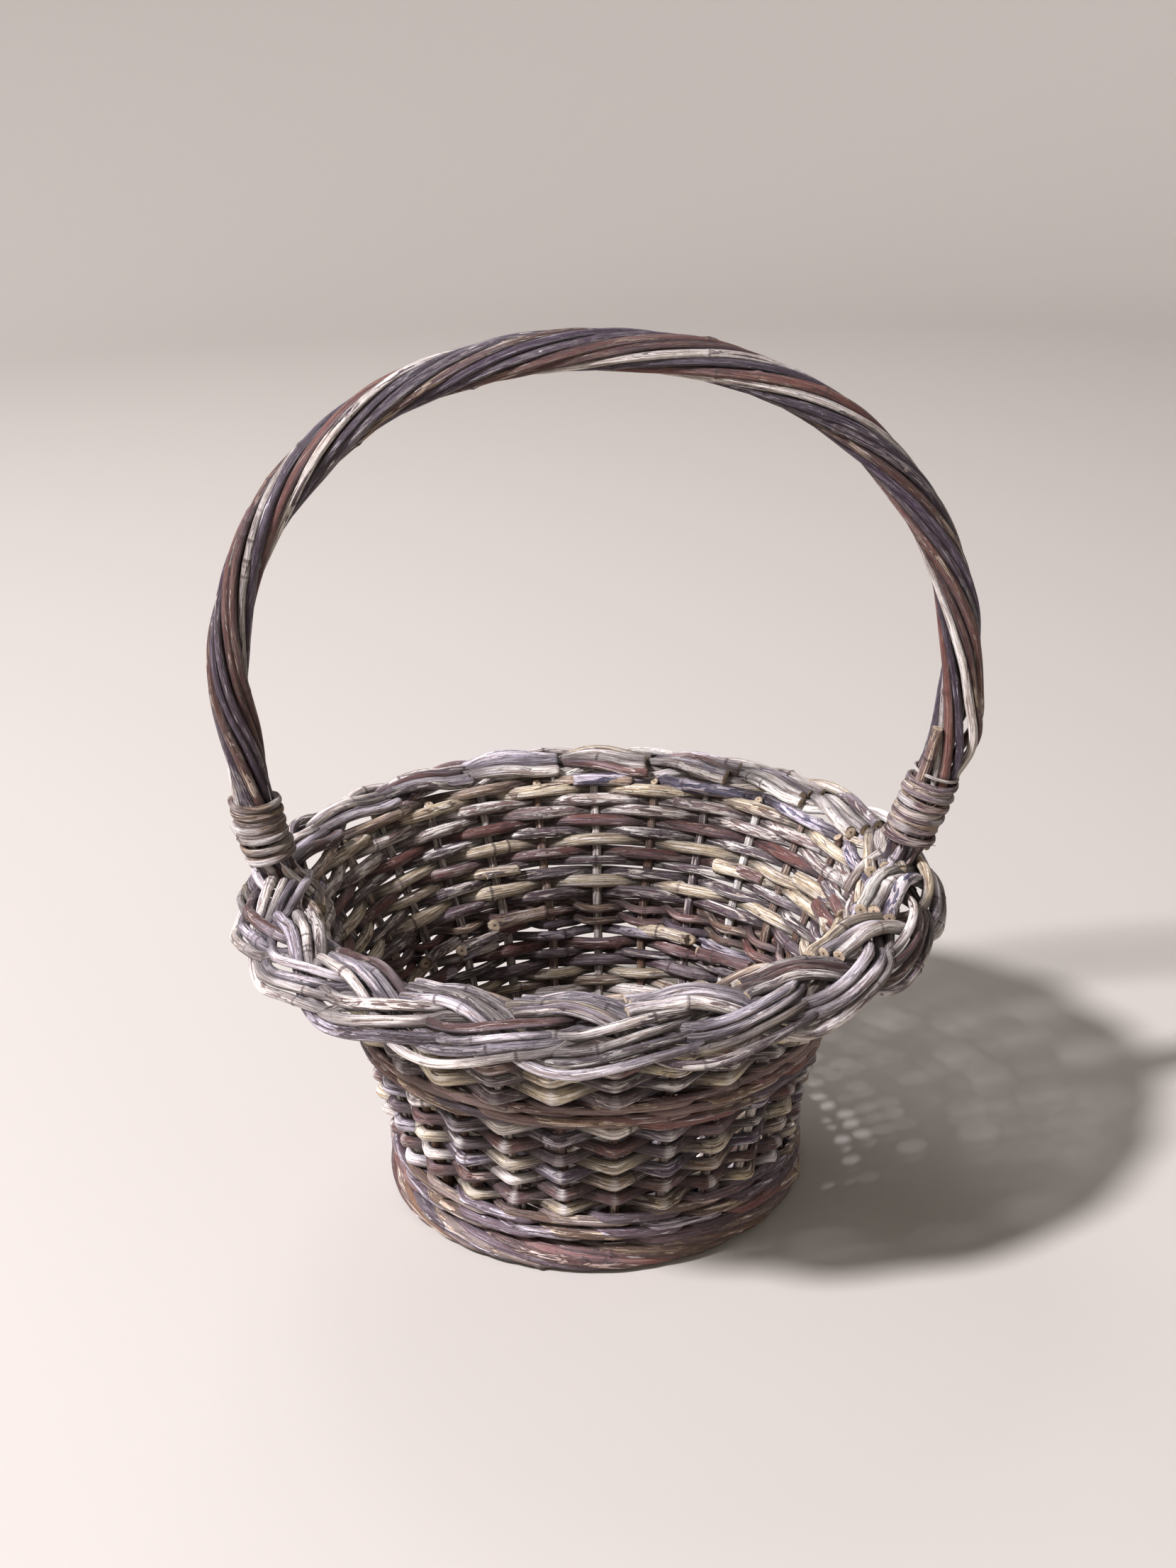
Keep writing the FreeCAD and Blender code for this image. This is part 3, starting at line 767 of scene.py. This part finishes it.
def randed_rods(start_height, pitch, rows, mix, first_parity, thick, dip):
    """One long spiral of weavers: outside one stake, inside the next, each rod ending inside.

    The rods dip outside a stake and rise inside it, by dip.
    """
    rods = []
    place = float(first_parity + 1)
    end_place = place + rows * STAKES
    while place < end_place - 1:
        reach = 2 * luck.randint(9, 14)
        stop = min(place + reach, end_place)
        from_place = place - luck.uniform(0.25, 0.7)
        to_place = stop + luck.uniform(0.25, 0.7)
        count = int((to_place - from_place) * POINTS_PER_GAP)
        places = np.linspace(from_place, to_place, count)
        parity = kinked(places + first_parity)
        taper = np.linspace(1.12, 0.86, count)
        if luck.random() < 0.5:
            taper = taper[::-1]
        radii = thick * taper * luck.uniform(0.82, 1.12) * (1 + wander(count, 1.2, 30, 0.05))
        bow = WEAVE_BOW + wander(count, 1.2, 40, 0.6)
        lateral = bow * parity
        inside_end = np.clip(1 - np.abs(places - from_place) / 0.9, 0, 1) + np.clip(
            1 - np.abs(places - to_place) / 0.9, 0, 1
        )
        lateral -= 2.6 * inside_end**1.5
        rise = (places - (first_parity + 1)) / STAKES * pitch
        height = start_height + rise + wander(count, 1.2, 26, 0.7) - dip * parity
        wear = np.clip(1 - np.abs((places + first_parity + 1) % 2 - 1) / 0.1, 0, 1) * (
            0.5 + wander(count, 1.2, 24, 0.5)
        )
        rods.append(
            (
                round_the_wall(places, lateral, height),
                radii,
                pick(mix),
                wear,
                (place - first_parity) / STAKES,
            )
        )
        place = stop
    return rods


def waled_rods(start_height, pitch, rounds, group, mix, thick, swell=0.0):
    """A wale: each rod of the group passes outside all but one stake of its turn, and slants."""
    rods = []
    for number in range(group):
        place = float(number) + luck.uniform(-0.2, 0.2)
        end_place = place + rounds * STAKES + group
        while place < end_place - 2:
            reach = group * luck.randint(5, 8)
            stop = min(place + reach, end_place)
            count = int((stop - place + 0.8) * POINTS_PER_GAP)
            places = np.linspace(place - 0.4, stop + 0.4, count)
            turn = (places - number) % group
            away = np.minimum(turn, group - turn)
            share = np.clip(away / 0.9, 0, 1)
            outside = -1 + 2 * share * share * (3 - 2 * share)
            lateral = outside * WEAVE_BOW + swell * np.clip(outside, 0, 1)
            lateral += wander(count, 1.2, 40, 0.3)
            slant = (0.5 - turn / group) * pitch * (group - 1)
            rise = (places - number) / STAKES * pitch * group
            height = start_height + rise + slant * np.clip(outside + 0.6, 0, 1) + wander(count, 1.2, 40, 0.4)
            taper = np.linspace(1.12, 0.85, count)
            radii = thick * taper * luck.uniform(0.92, 1.08)
            rods.append((round_the_wall(places, lateral, height), radii, pick(mix), None, 0.0))
            place = stop
    return rods


def gather(name, rods, material, slot_name, replaced, crevice, sides=10, knots_per_metre=15):
    bundle = Bundle(name)
    for points, radii, tints, wear, _ in rods:
        length = np.linalg.norm(np.diff(points, axis=0), axis=1).sum() * MM
        bundle.add(points, radii, tints, sides=sides, wear=wear, knots=int(length * knots_per_metre))
    return bundle.build(material, slot_name, replaced, crevice)


lower_rows = 10
lower_pitch = (lower_top - upsett_top) / lower_rows
lower_rods = randed_rods(upsett_top + 1.2, lower_pitch, lower_rows, SIDE_MIX, 0, 2.55, 0.75)
for share in range(3):
    part = [rod for rod in lower_rods if share * 3.4 <= rod[4] < share * 3.4 + 3.4]
    gather(
        f"lower_side_weave_{share + 1}", part, SIDE_WILLOW, "weave_wood",
        ["lower_siding"] if share == 0 else [], wall_crevice,
    )

upper_rows = 8
top_rows = 4
upper_pitch = (wall_top + 3.5 - middle_top) / (upper_rows + top_rows)
upper_rods = randed_rods(middle_top + 1.0, upper_pitch, upper_rows + top_rows, UPPER_MIX, 1, 2.85, 1.3)
for share in range(3):
    first, last = ((-1, 4), (4, 8), (8, 99))[share]
    part = [rod for rod in upper_rods if first <= rod[4] < last]
    gather(
        f"upper_side_weave_{share + 1}", part, SIDE_WILLOW, "weave_wood",
        (["upper_siding"], [], ["top_wale"])[share], wall_crevice,
    )

gather(
    "middle_wale_rods",
    waled_rods(lower_top + 1.4, 2.0, 2.0, 3, WALE_MIX, 1.95, swell=0.9),
    WALE_WILLOW, "weave_wood", ["middle_wale"], wall_crevice, knots_per_metre=6,
)
gather(
    "upsett_wale_rods",
    waled_rods(foot_top + 0.8, 2.15, 2.0, 3, FOOT_MIX, 2.3, swell=0.9),
    WALE_WILLOW, "weave_wood", ["upsett_wale"], wall_crevice, knots_per_metre=7,
)


def cut_butts():
    """Thick ends of weavers, cut slantwise and left inside, round the middle of the wall."""
    bundle = Bundle("inside_butts")
    for number in range(STAKES):
        if luck.random() < 0.22:
            continue
        place = number + luck.uniform(-0.2, 0.2)
        height = luck.uniform(56, 80)
        marks = [(-0.9, -2.2, -0.8), (-0.35, -5.2, -0.2), (0.1, -7.4, 0.2), (0.42, -9.0, 0.6)]
        way = luck.choice([1, 1, -1])
        places = np.array([place + way * mark[0] for mark in marks])
        lateral = np.array([mark[1] for mark in marks])
        heights = np.array([height + mark[2] for mark in marks])
        points = resample(round_the_wall(places, lateral, heights), 1.2)
        inward = -points[-1] * np.array([1.0, 1.0, 0.0])
        inward = inward / np.linalg.norm(inward) * 1.1 + np.array([0, 0, 0.35])
        bundle.add(points, luck.uniform(2.5, 3.1), pick(SIDE_MIX), knots=1, cut_slant=inward)
    return bundle


cut_butts().build(SIDE_WILLOW, "weave_wood", [], clear)


# ---------------------------------------------------------------- foot, stakes and base


def foot_rods():
    """Thick rods laid down one after another: out past two stakes, down, and in under the next."""
    rods = []
    laid = 34
    for number in range(laid):
        start = number * STAKES / laid
        thick = luck.uniform(2.55, 3.1)
        reach = luck.uniform(0.9, 1.1)
        marks = [
            (-0.7, -4.0, 10.5),
            (0.2, -0.5, 10.6),
            (0.9, 3.6, 9.4),
            (1.9, 4.9, 7.0),
            (2.9, 4.7, 4.4),
            (3.6, 2.8, thick + 0.1),
            (4.3, -2.0, thick),
        ]
        places = np.array([start + mark[0] * reach for mark in marks])
        lateral = np.array([mark[1] + luck.uniform(-0.3, 0.3) for mark in marks])
        height = np.array([mark[2] + luck.uniform(-0.3, 0.3) for mark in marks])
        points = resample(round_the_wall(places, lateral, height), 1.3)
        radii = thick * np.linspace(1.05, 0.85, len(points))
        points[:, 2] = np.maximum(points[:, 2], radii * 1.08)
        rods.append((points, radii, pick(FOOT_MIX), None, 0.0))
    return rods


gather(
    "foot_rods", foot_rods(), WALE_WILLOW, "weave_wood", ["foot_border"], foot_crevice,
    knots_per_metre=12,
)


def side_stakes():
    rods = []
    for number in range(STAKES):
        height = np.linspace(3.5, wall_top + 2, 110)
        count = len(height)
        place = np.full(count, float(number)) + wander(count, 1.2, 60, 0.03)
        lateral = wander(count, 1.2, 60, 0.2)
        tip = np.clip((height - wall_top) / 4, 0, 1)
        points = round_the_wall(place, lateral - 3 * tip, height)
        rods.append((points, STAKE_RADIUS * np.linspace(1.02, 0.95, count), pick(STAKE_MIX), None, 0.0))
    return rods


stake_names = sorted(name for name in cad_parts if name.startswith("side_stake_"))
gather(
    "side_stake_rods", side_stakes(), STAKE_WILLOW, "stake_wood", stake_names, wall_crevice, sides=9
)


def base_spokes():
    """Crossed sticks in the middle, opened out to spokes."""
    rods = []
    middle = (base_low + base_high) / 2
    reach = foot_line - 5.5
    for number in range(STAKES):
        angle = 2 * math.pi * (number + 0.5) / STAKES
        length = np.linspace(9, reach, 50)
        points = np.stack(
            [length * math.cos(angle), length * math.sin(angle), middle + wander(50, 1.5, 40, 0.3)],
            axis=1,
        )
        rods.append((points, np.linspace(1.5, 1.9, 50), pick(STAKE_MIX), None, 0.0))
    for axis, count, level in ((0, 3, -2.2), (1, 4, 2.2)):
        for number in range(count):
            offset = (number - (count - 1) / 2) * 5.2
            half = 21.0
            run = np.linspace(-half, half, 30)
            flat = np.full(30, offset)
            pair = (run, flat) if axis == 0 else (flat, run)
            points = np.stack([*pair, np.full(30, middle + level)], axis=1)
            rods.append((points, 2.4, pick(WALE_MIX), None, 0.0))
    return rods


def base_weavers():
    """A spiral of fine rods over one spoke and under the next, out to the wall."""
    rods = []
    middle = (base_low + base_high) / 2
    pitch = 3.5
    start, end = 22.0, foot_line - 5.5
    rounds = int((end - start) / pitch)
    place = 0.0
    while place < rounds * STAKES:
        stop = min(place + luck.randint(30, 60), rounds * STAKES)
        radius_mean = start + pitch * (place + stop) / 2 / STAKES
        steps = max(int((stop - place) * radius_mean * STAKE_PITCH / 1.5), 60)
        places = np.linspace(place - 0.4, stop + 0.4, steps)
        angle = places * STAKE_PITCH
        radius = start + pitch * places / STAKES + wander(steps, 1.5, 30, 0.3)
        height = middle + 3.0 * np.cos(np.pi * (places - 0.5)) + wander(steps, 1.5, 40, 0.2)
        points = np.stack([radius * np.cos(angle), radius * np.sin(angle), height], axis=1)
        rods.append((points, np.linspace(1.75, 1.35, steps), pick(SIDE_MIX), None, 0.0))
        place = stop
    return rods


stick_names = sorted(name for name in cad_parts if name.startswith("base_stick_"))
gather(
    "base_stick_rods", base_spokes(), BASE_WILLOW, "base_stick_wood", stick_names, base_crevice, sides=8
)
gather(
    "base_weave_rods", base_weavers(), BASE_WILLOW, "weave_wood", ["base_weave"], base_crevice, sides=7
)


# ---------------------------------------------------------------- the plaited rim

RIM_WAVES = 6
RIM_MIDDLE_RADIUS = 134.0
RIM_SWING = 9.8
RIM_MIDDLE_HEIGHT = wall_top + 4.4
RIM_SLOPE = 0.42
RIM_LIFT = 2.7


def rim_bundle(group):
    """Three or four rods laid side by side: out over the plait, round its edge, back in and under."""
    rods = []
    wave_angle = 2 * math.pi / RIM_WAVES
    start_angle = group * wave_angle / 3 + math.radians(-83.7)
    total = luck.choice([3, 4, 4, 4])
    thick = luck.uniform(1.95, 2.15) if total == 4 else 2.65
    for number in range(total):
        beside = (number - (total - 1) / 2) * thick * 2.16
        proud = luck.uniform(-0.7, 0.7)
        begin = -118 + luck.uniform(-6, 6)
        finish = 262 + luck.uniform(-14, 14)
        steps = 130
        phase = np.radians(np.linspace(begin, finish, steps))
        slip = luck.uniform(-0.14, 0.14)
        swing = np.sin(phase + slip)
        swing = np.where(swing > 0, np.abs(swing) ** 0.6, -np.abs(swing) ** 0.95)
        angle = start_angle + phase / (2 * math.pi) * wave_angle
        tilt = -0.42 - 0.62 * swing
        middle = RIM_MIDDLE_RADIUS + RIM_SWING * swing
        radius = middle + beside * np.cos(tilt) + wander(steps, 1.3, 45, 0.7)
        height = RIM_MIDDLE_HEIGHT - RIM_SLOPE * RIM_SWING * swing
        height = height - RIM_LIFT * np.sin(2 * phase) + beside * np.sin(tilt)
        height += proud + wander(steps, 1.3, 45, 0.6)
        into = np.clip((np.radians(-88) - phase) / np.radians(30), 0, 1)
        radius = radius - 1.5 * into
        height = height + 2.2 * into
        away = np.clip((phase - np.radians(215)) / np.radians(50), 0, 1)
        height = height - 3.5 * away
        points = np.stack([radius * np.cos(angle), radius * np.sin(angle), height], axis=1)
        taper = np.linspace(1.08, 0.82, steps)
        rods.append((even_steps(points, 1.35), thick, taper, pick(RIM_MIX)))
    return rods


strand_bundles = [Bundle(f"rim_plait_{strand + 1}") for strand in range(3)]
for group in range(3 * RIM_WAVES):
    for points, thick, taper, tints in rim_bundle(group):
        radii = thick * np.interp(np.linspace(0, 1, len(points)), np.linspace(0, 1, len(taper)), taper)
        strand_bundles[group % 3].add(points, radii, tints, sides=10, knots=luck.choice([1, 2, 3, 4]))
for strand, bundle in enumerate(strand_bundles):
    bundle.build(RIM_WILLOW, "border_wood", [f"border_strand_{strand + 1}"], rim_crevice)


# ---------------------------------------------------------------- the handle

HANDLE_RISE = 132.0
HANDLE_SHOULDER = 14.0
HANDLE_SQUARENESS = 0.92
handle_lean = (handle_right - handle_left) / 2
handle_half = (handle_right + handle_left) / 2
handle_centre = handle_top - HANDLE_RISE


def handle_line():
    """The bow's centre line, from the right leg inside the wall over to the left leg."""

    def leg(side):
        return [
            (side * (top_line - 14), 0, wall_top - 32),
            (side * (top_line - 1), 0, wall_top - 2),
            (side * (top_line + 10.5) + 1.0, 0, wall_top + 11.5),
            (side * (top_line + 18.2) + 1.7, 0, binding_middle),
        ]

    bow = []
    for step in range(15):
        turn = math.radians(-HANDLE_SHOULDER + (180 + 2 * HANDLE_SHOULDER) * step / 14)
        across = math.copysign(abs(math.cos(turn)) ** HANDLE_SQUARENESS, math.cos(turn))
        bow.append((handle_lean + handle_half * across, 0, handle_centre + HANDLE_RISE * math.sin(turn)))
    return resample(leg(1) + bow + leg(-1)[::-1], 1.3)


HANDLE_LINE = handle_line()
handle_gone = np.concatenate(
    [[0], np.cumsum(np.linalg.norm(np.diff(HANDLE_LINE, axis=0), axis=1))]
)
handle_length = handle_gone[-1]
handle_tangents = unit(np.gradient(HANDLE_LINE, axis=0))
handle_outward = np.cross(np.array([0.0, 1.0, 0.0]), handle_tangents)
handle_outward = unit(handle_outward)
HANDLE_TWIST = 195.0


def beside_handle(gone, angle, reach):
    """Points at a turn and reach about the bow's centre line, by the distance gone along it."""
    centre = np.stack([np.interp(gone, handle_gone, HANDLE_LINE[:, axis]) for axis in range(3)], axis=1)
    outward = unit(
        np.stack([np.interp(gone, handle_gone, handle_outward[:, axis]) for axis in range(3)], axis=1)
    )
    sideways = np.array([0.0, 1.0, 0.0])
    return centre + (outward * np.cos(angle)[:, None] + sideways * np.sin(angle)[:, None]) * reach[:, None]


def gone_at_height(height, side):
    half = handle_length / 2
    near = (handle_gone < half) if side > 0 else (handle_gone > half)
    index = np.argmin(np.where(near, np.abs(HANDLE_LINE[:, 2] - height), 1e9))
    return handle_gone[index]


right_foot = gone_at_height(binding_middle - 22, 1)
left_foot = gone_at_height(binding_middle - 22, -1)
right_open = gone_at_height(198, 1)
HANDLE_RODS = 11
LEG_RODS = 6
handle_bundles = [Bundle(f"handle_twist_{number + 1}") for number in range(4)]
for number in range(HANDLE_RODS):
    early = luck.uniform(-6, 6)
    gone = np.arange(right_foot + early, left_foot + luck.uniform(-6, 6), 1.35)
    angle = 2 * math.pi * number / HANDLE_RODS - 2 * math.pi * gone / HANDLE_TWIST
    angle = angle + wander(len(gone), 1.35, 60, 0.1)
    thick = luck.uniform(1.65, 2.15)
    radii = thick * np.linspace(*((1.1, 0.85) if number % 2 else (0.85, 1.1)), len(gone))
    reach = 4.7 + radii * 0.98 + wander(len(gone), 1.35, 50, 0.5)
    facing = np.cos(angle)
    opened = np.exp(-(((gone - right_open) / 16) ** 2)) * np.clip(facing, 0, 1)
    reach = reach + 4.6 * opened
    squeeze = np.exp(-(((gone - right_foot) / 8) ** 2)) + np.exp(-(((gone - left_foot) / 8) ** 2))
    reach = reach * (1 - 0.3 * squeeze)
    tints = pick(HANDLE_MIX)
    handle_bundles[number % 4].add(
        beside_handle(gone, angle, reach), radii, tints, sides=10, knots=luck.randint(5, 9)
    )
for number, bundle in enumerate(handle_bundles):
    replaced = [f"handle_rod_{number + 1}"]
    if number < 3:
        replaced.append(f"handle_rod_{number + 5}")
    bundle.build(HANDLE_WILLOW, "handle_wood", replaced, handle_crevice)

core = Bundle("handle_core_rod")
core_points = HANDLE_LINE.copy()
core.add(core_points, handle_core_radius + 0.2, (PINK_TAN, DARK_RED, 0.85), sides=12, knots=9)
core.build(HANDLE_WILLOW, "handle_wood", ["handle_core"], clear)


def bound_leg(side):
    """Split willow wound round the leg, and the rods below it that dive into the rim."""
    label = "right" if side > 0 else "left"
    bundle = Bundle(f"{label}_leg_binding")
    bottom = gone_at_height(binding_middle - 13.5, side)
    top = gone_at_height(binding_middle + 13.5, side)
    loose = 0.5 if side > 0 else 0.2
    for layer in range(2):
        turns = 7.2 - 1.5 * layer
        count = 420
        share = np.linspace(0, 1, count)
        gone = bottom + (top - bottom) * (share * 0.96 + 0.02)
        gone = gone + wander(count, 1.2, 30, 0.5 + loose)
        angle = 2 * math.pi * turns * share + layer * 2 + wander(count, 1.2, 40, 0.1)
        reach = 9.3 + 0.8 * layer + wander(count, 1.2, 18, 0.25 + loose * 0.5)
        points = beside_handle(gone, angle, reach)
        centres = beside_handle(gone, angle, reach * 0)
        bundle.add(
            points, 1.75 - 0.2 * layer, pick(BINDING_MIX), sides=10, normals=unit(points - centres),
            flatness=0.62, wear=np.clip(wander(count, 1.2, 14, 0.9), 0, 1), rough=1.6,
        )
    for number in range(LEG_RODS):
        angle0 = 2 * math.pi * number / LEG_RODS + luck.uniform(-0.25, 0.25)
        gone_top = bottom + side * luck.uniform(3, 8)
        gone_low = gone_at_height(wall_top - 8, side)
        gone = np.linspace(gone_top, gone_low, 40)
        share = np.linspace(0, 1, 40)
        angle = angle0 + share * luck.uniform(-0.6, 0.6)
        reach = 5.0 + share * luck.uniform(-0.5, 2.5)
        thick = luck.uniform(1.7, 2.2)
        bundle.add(beside_handle(gone, angle, reach), thick, pick(RIM_MIX), sides=9, knots=2)
    return bundle


right_leg = bound_leg(1)
left_leg = bound_leg(-1)

stub_gone = np.linspace(gone_at_height(binding_middle + 8, 1), gone_at_height(200, 1), 30)
stub_share = np.linspace(0, 1, 30)
right_leg.add(
    beside_handle(stub_gone, np.full(30, -2.4), 8.2 + 1.2 * stub_share),
    2.5, (TAN, PINK_BROWN, 0.5), sides=12, knots=1,
)
string_gone = gone_at_height(binding_middle + 15, 1) + np.linspace(0, 1.5, 70)
string_turn = np.linspace(0, 2 * math.pi * 1.1, 70)
right_leg.add(
    beside_handle(string_gone, string_turn, 9.4 + wander(70, 1.0, 12, 0.5)),
    0.75, (CREAM, TAN, 0.1), sides=7,
)
right_leg.build(BINDING_WILLOW, "binding_wood", ["right_binding"], clear)
left_leg.build(BINDING_WILLOW, "binding_wood", ["left_binding"], clear)


# ---------------------------------------------------------------- loose ends and fibres


def fibres():
    bundle = Bundle("frayed_fibres")
    for number in range(150):
        place = luck.uniform(0, STAKES)
        height = luck.uniform(foot_top, wall_top - 14)
        length = luck.uniform(3, 11)
        lean = luck.uniform(-0.5, 0.5)
        share = np.linspace(0, 1, 9)
        way = luck.choice([-1, 1])
        places = place + way * share * length / 22
        heights = height + lean * share * length * 0.4 + share**2 * luck.uniform(-1, 1)
        lateral = 5.6 + share * luck.uniform(0.2, 1.6) + 0.3 * np.sin(share * 3)
        bundle.add(
            round_the_wall(places, lateral, heights), np.linspace(0.16, 0.07, 9), (CREAM, TAN, 0.05),
            sides=4, ends=(False, False), rough=0.0,
        )
    for side in (1, -1):
        for number in range(14 if side > 0 else 7):
            gone0 = gone_at_height(binding_middle + luck.uniform(-14, 16), side)
            share = np.linspace(0, 1, 12)
            gone = gone0 + share * luck.uniform(-9, 9)
            angle = luck.uniform(0, 6.28) + share * luck.uniform(-1.2, 1.2)
            reach = 9.6 + share * luck.uniform(0.5, 3.0)
            bundle.add(
                beside_handle(gone, angle, reach), np.linspace(0.22, 0.1, 12), (CREAM, TAN, 0.05),
                sides=4, ends=(False, False), rough=0.0,
            )
    return bundle


fibres().build(BINDING_WILLOW, "binding_wood", [], clear)


# ---------------------------------------------------------------- floor, light and camera


def studio_floor():
    """A pale round floor that curves up all round into a plain backdrop."""
    flat, bend, rise, around = 1.9, 0.7, 2.4, 96
    section = [(0.35, 0.0), (0.9, 0.0), (flat, 0.0)]
    for step in range(1, 13):
        turn = math.pi / 2 * step / 12
        section.append((flat + bend * math.sin(turn), bend * (1 - math.cos(turn))))
    section.append((flat + bend, rise))
    spots = [(0.0, 0.0, 0.0)]
    for out, height in section:
        for step in range(around):
            turn = 2 * math.pi * step / around
            spots.append((out * math.cos(turn), out * math.sin(turn), height))
    faces = [(0, 1 + step, 1 + (step + 1) % around) for step in range(around)]
    for ring in range(len(section) - 1):
        for step in range(around):
            a = 1 + ring * around + step
            b = 1 + ring * around + (step + 1) % around
            faces.append((a, a + around, b + around, b))
    mesh = bpy.data.meshes.new("studio_floor")
    mesh.from_pydata(spots, [], faces)
    for face in mesh.polygons:
        face.use_smooth = True
    floor = bpy.data.objects.new("studio_floor", mesh)
    bpy.context.scene.collection.objects.link(floor)
    material = bpy.data.materials.new("pale_floor")
    material.use_nodes = True
    shader = material.node_tree.nodes["Principled BSDF"]
    shader.inputs["Base Color"].default_value = (*linear(170, 165, 156), 1)
    shader.inputs["Roughness"].default_value = 0.9
    mesh.materials.append(material)


studio_floor()


def area_light(name, place, target, size, power, colour):
    data = bpy.data.lights.new(name, "AREA")
    data.shape = "DISK"
    data.size = size
    data.energy = power
    data.color = colour
    light = bpy.data.objects.new(name, data)
    light.location = place
    light.rotation_euler = (Vector(target) - Vector(place)).to_track_quat("-Z", "Y").to_euler()
    bpy.context.scene.collection.objects.link(light)


area_light("window_light", (-1.9, -1.15, 2.5), (0, 0, 0.12), 0.4, 232, (1.0, 0.97, 1.07))
area_light("fill_light", (1.5, -0.9, 0.9), (0, 0, 0.15), 1.0, 1.5, (0.93, 0.93, 1.0))
area_light("back_light", (-0.5, 1.3, 1.5), (0, 0, 0.15), 0.9, 12, (0.96, 0.95, 1.0))

world = bpy.data.worlds.new("studio_air")
world.use_nodes = True
world.node_tree.nodes["Background"].inputs["Color"].default_value = (0.93, 0.92, 1.0, 1)
world.node_tree.nodes["Background"].inputs["Strength"].default_value = 0.10
bpy.context.scene.world = world
bpy.context.scene.view_settings.view_transform = "Standard"

camera_data = bpy.data.cameras.new("camera")
camera_data.sensor_width = 36.0
camera_data.lens = 54.08
camera = bpy.data.objects.new("camera", camera_data)
right = Vector((0.9996, -0.0108, -0.0267)).normalized()
up = Vector((0.0288, 0.374, 0.927)).normalized()
back = right.cross(up).normalized()
up = back.cross(right).normalized()
camera.matrix_world = Matrix(
    (
        (right.x, up.x, back.x, 0.0012),
        (right.y, up.y, back.y, -0.8992),
        (right.z, up.z, back.z, 0.5414),
        (0, 0, 0, 1),
    )
)
bpy.context.scene.collection.objects.link(camera)
bpy.context.scene.camera = camera
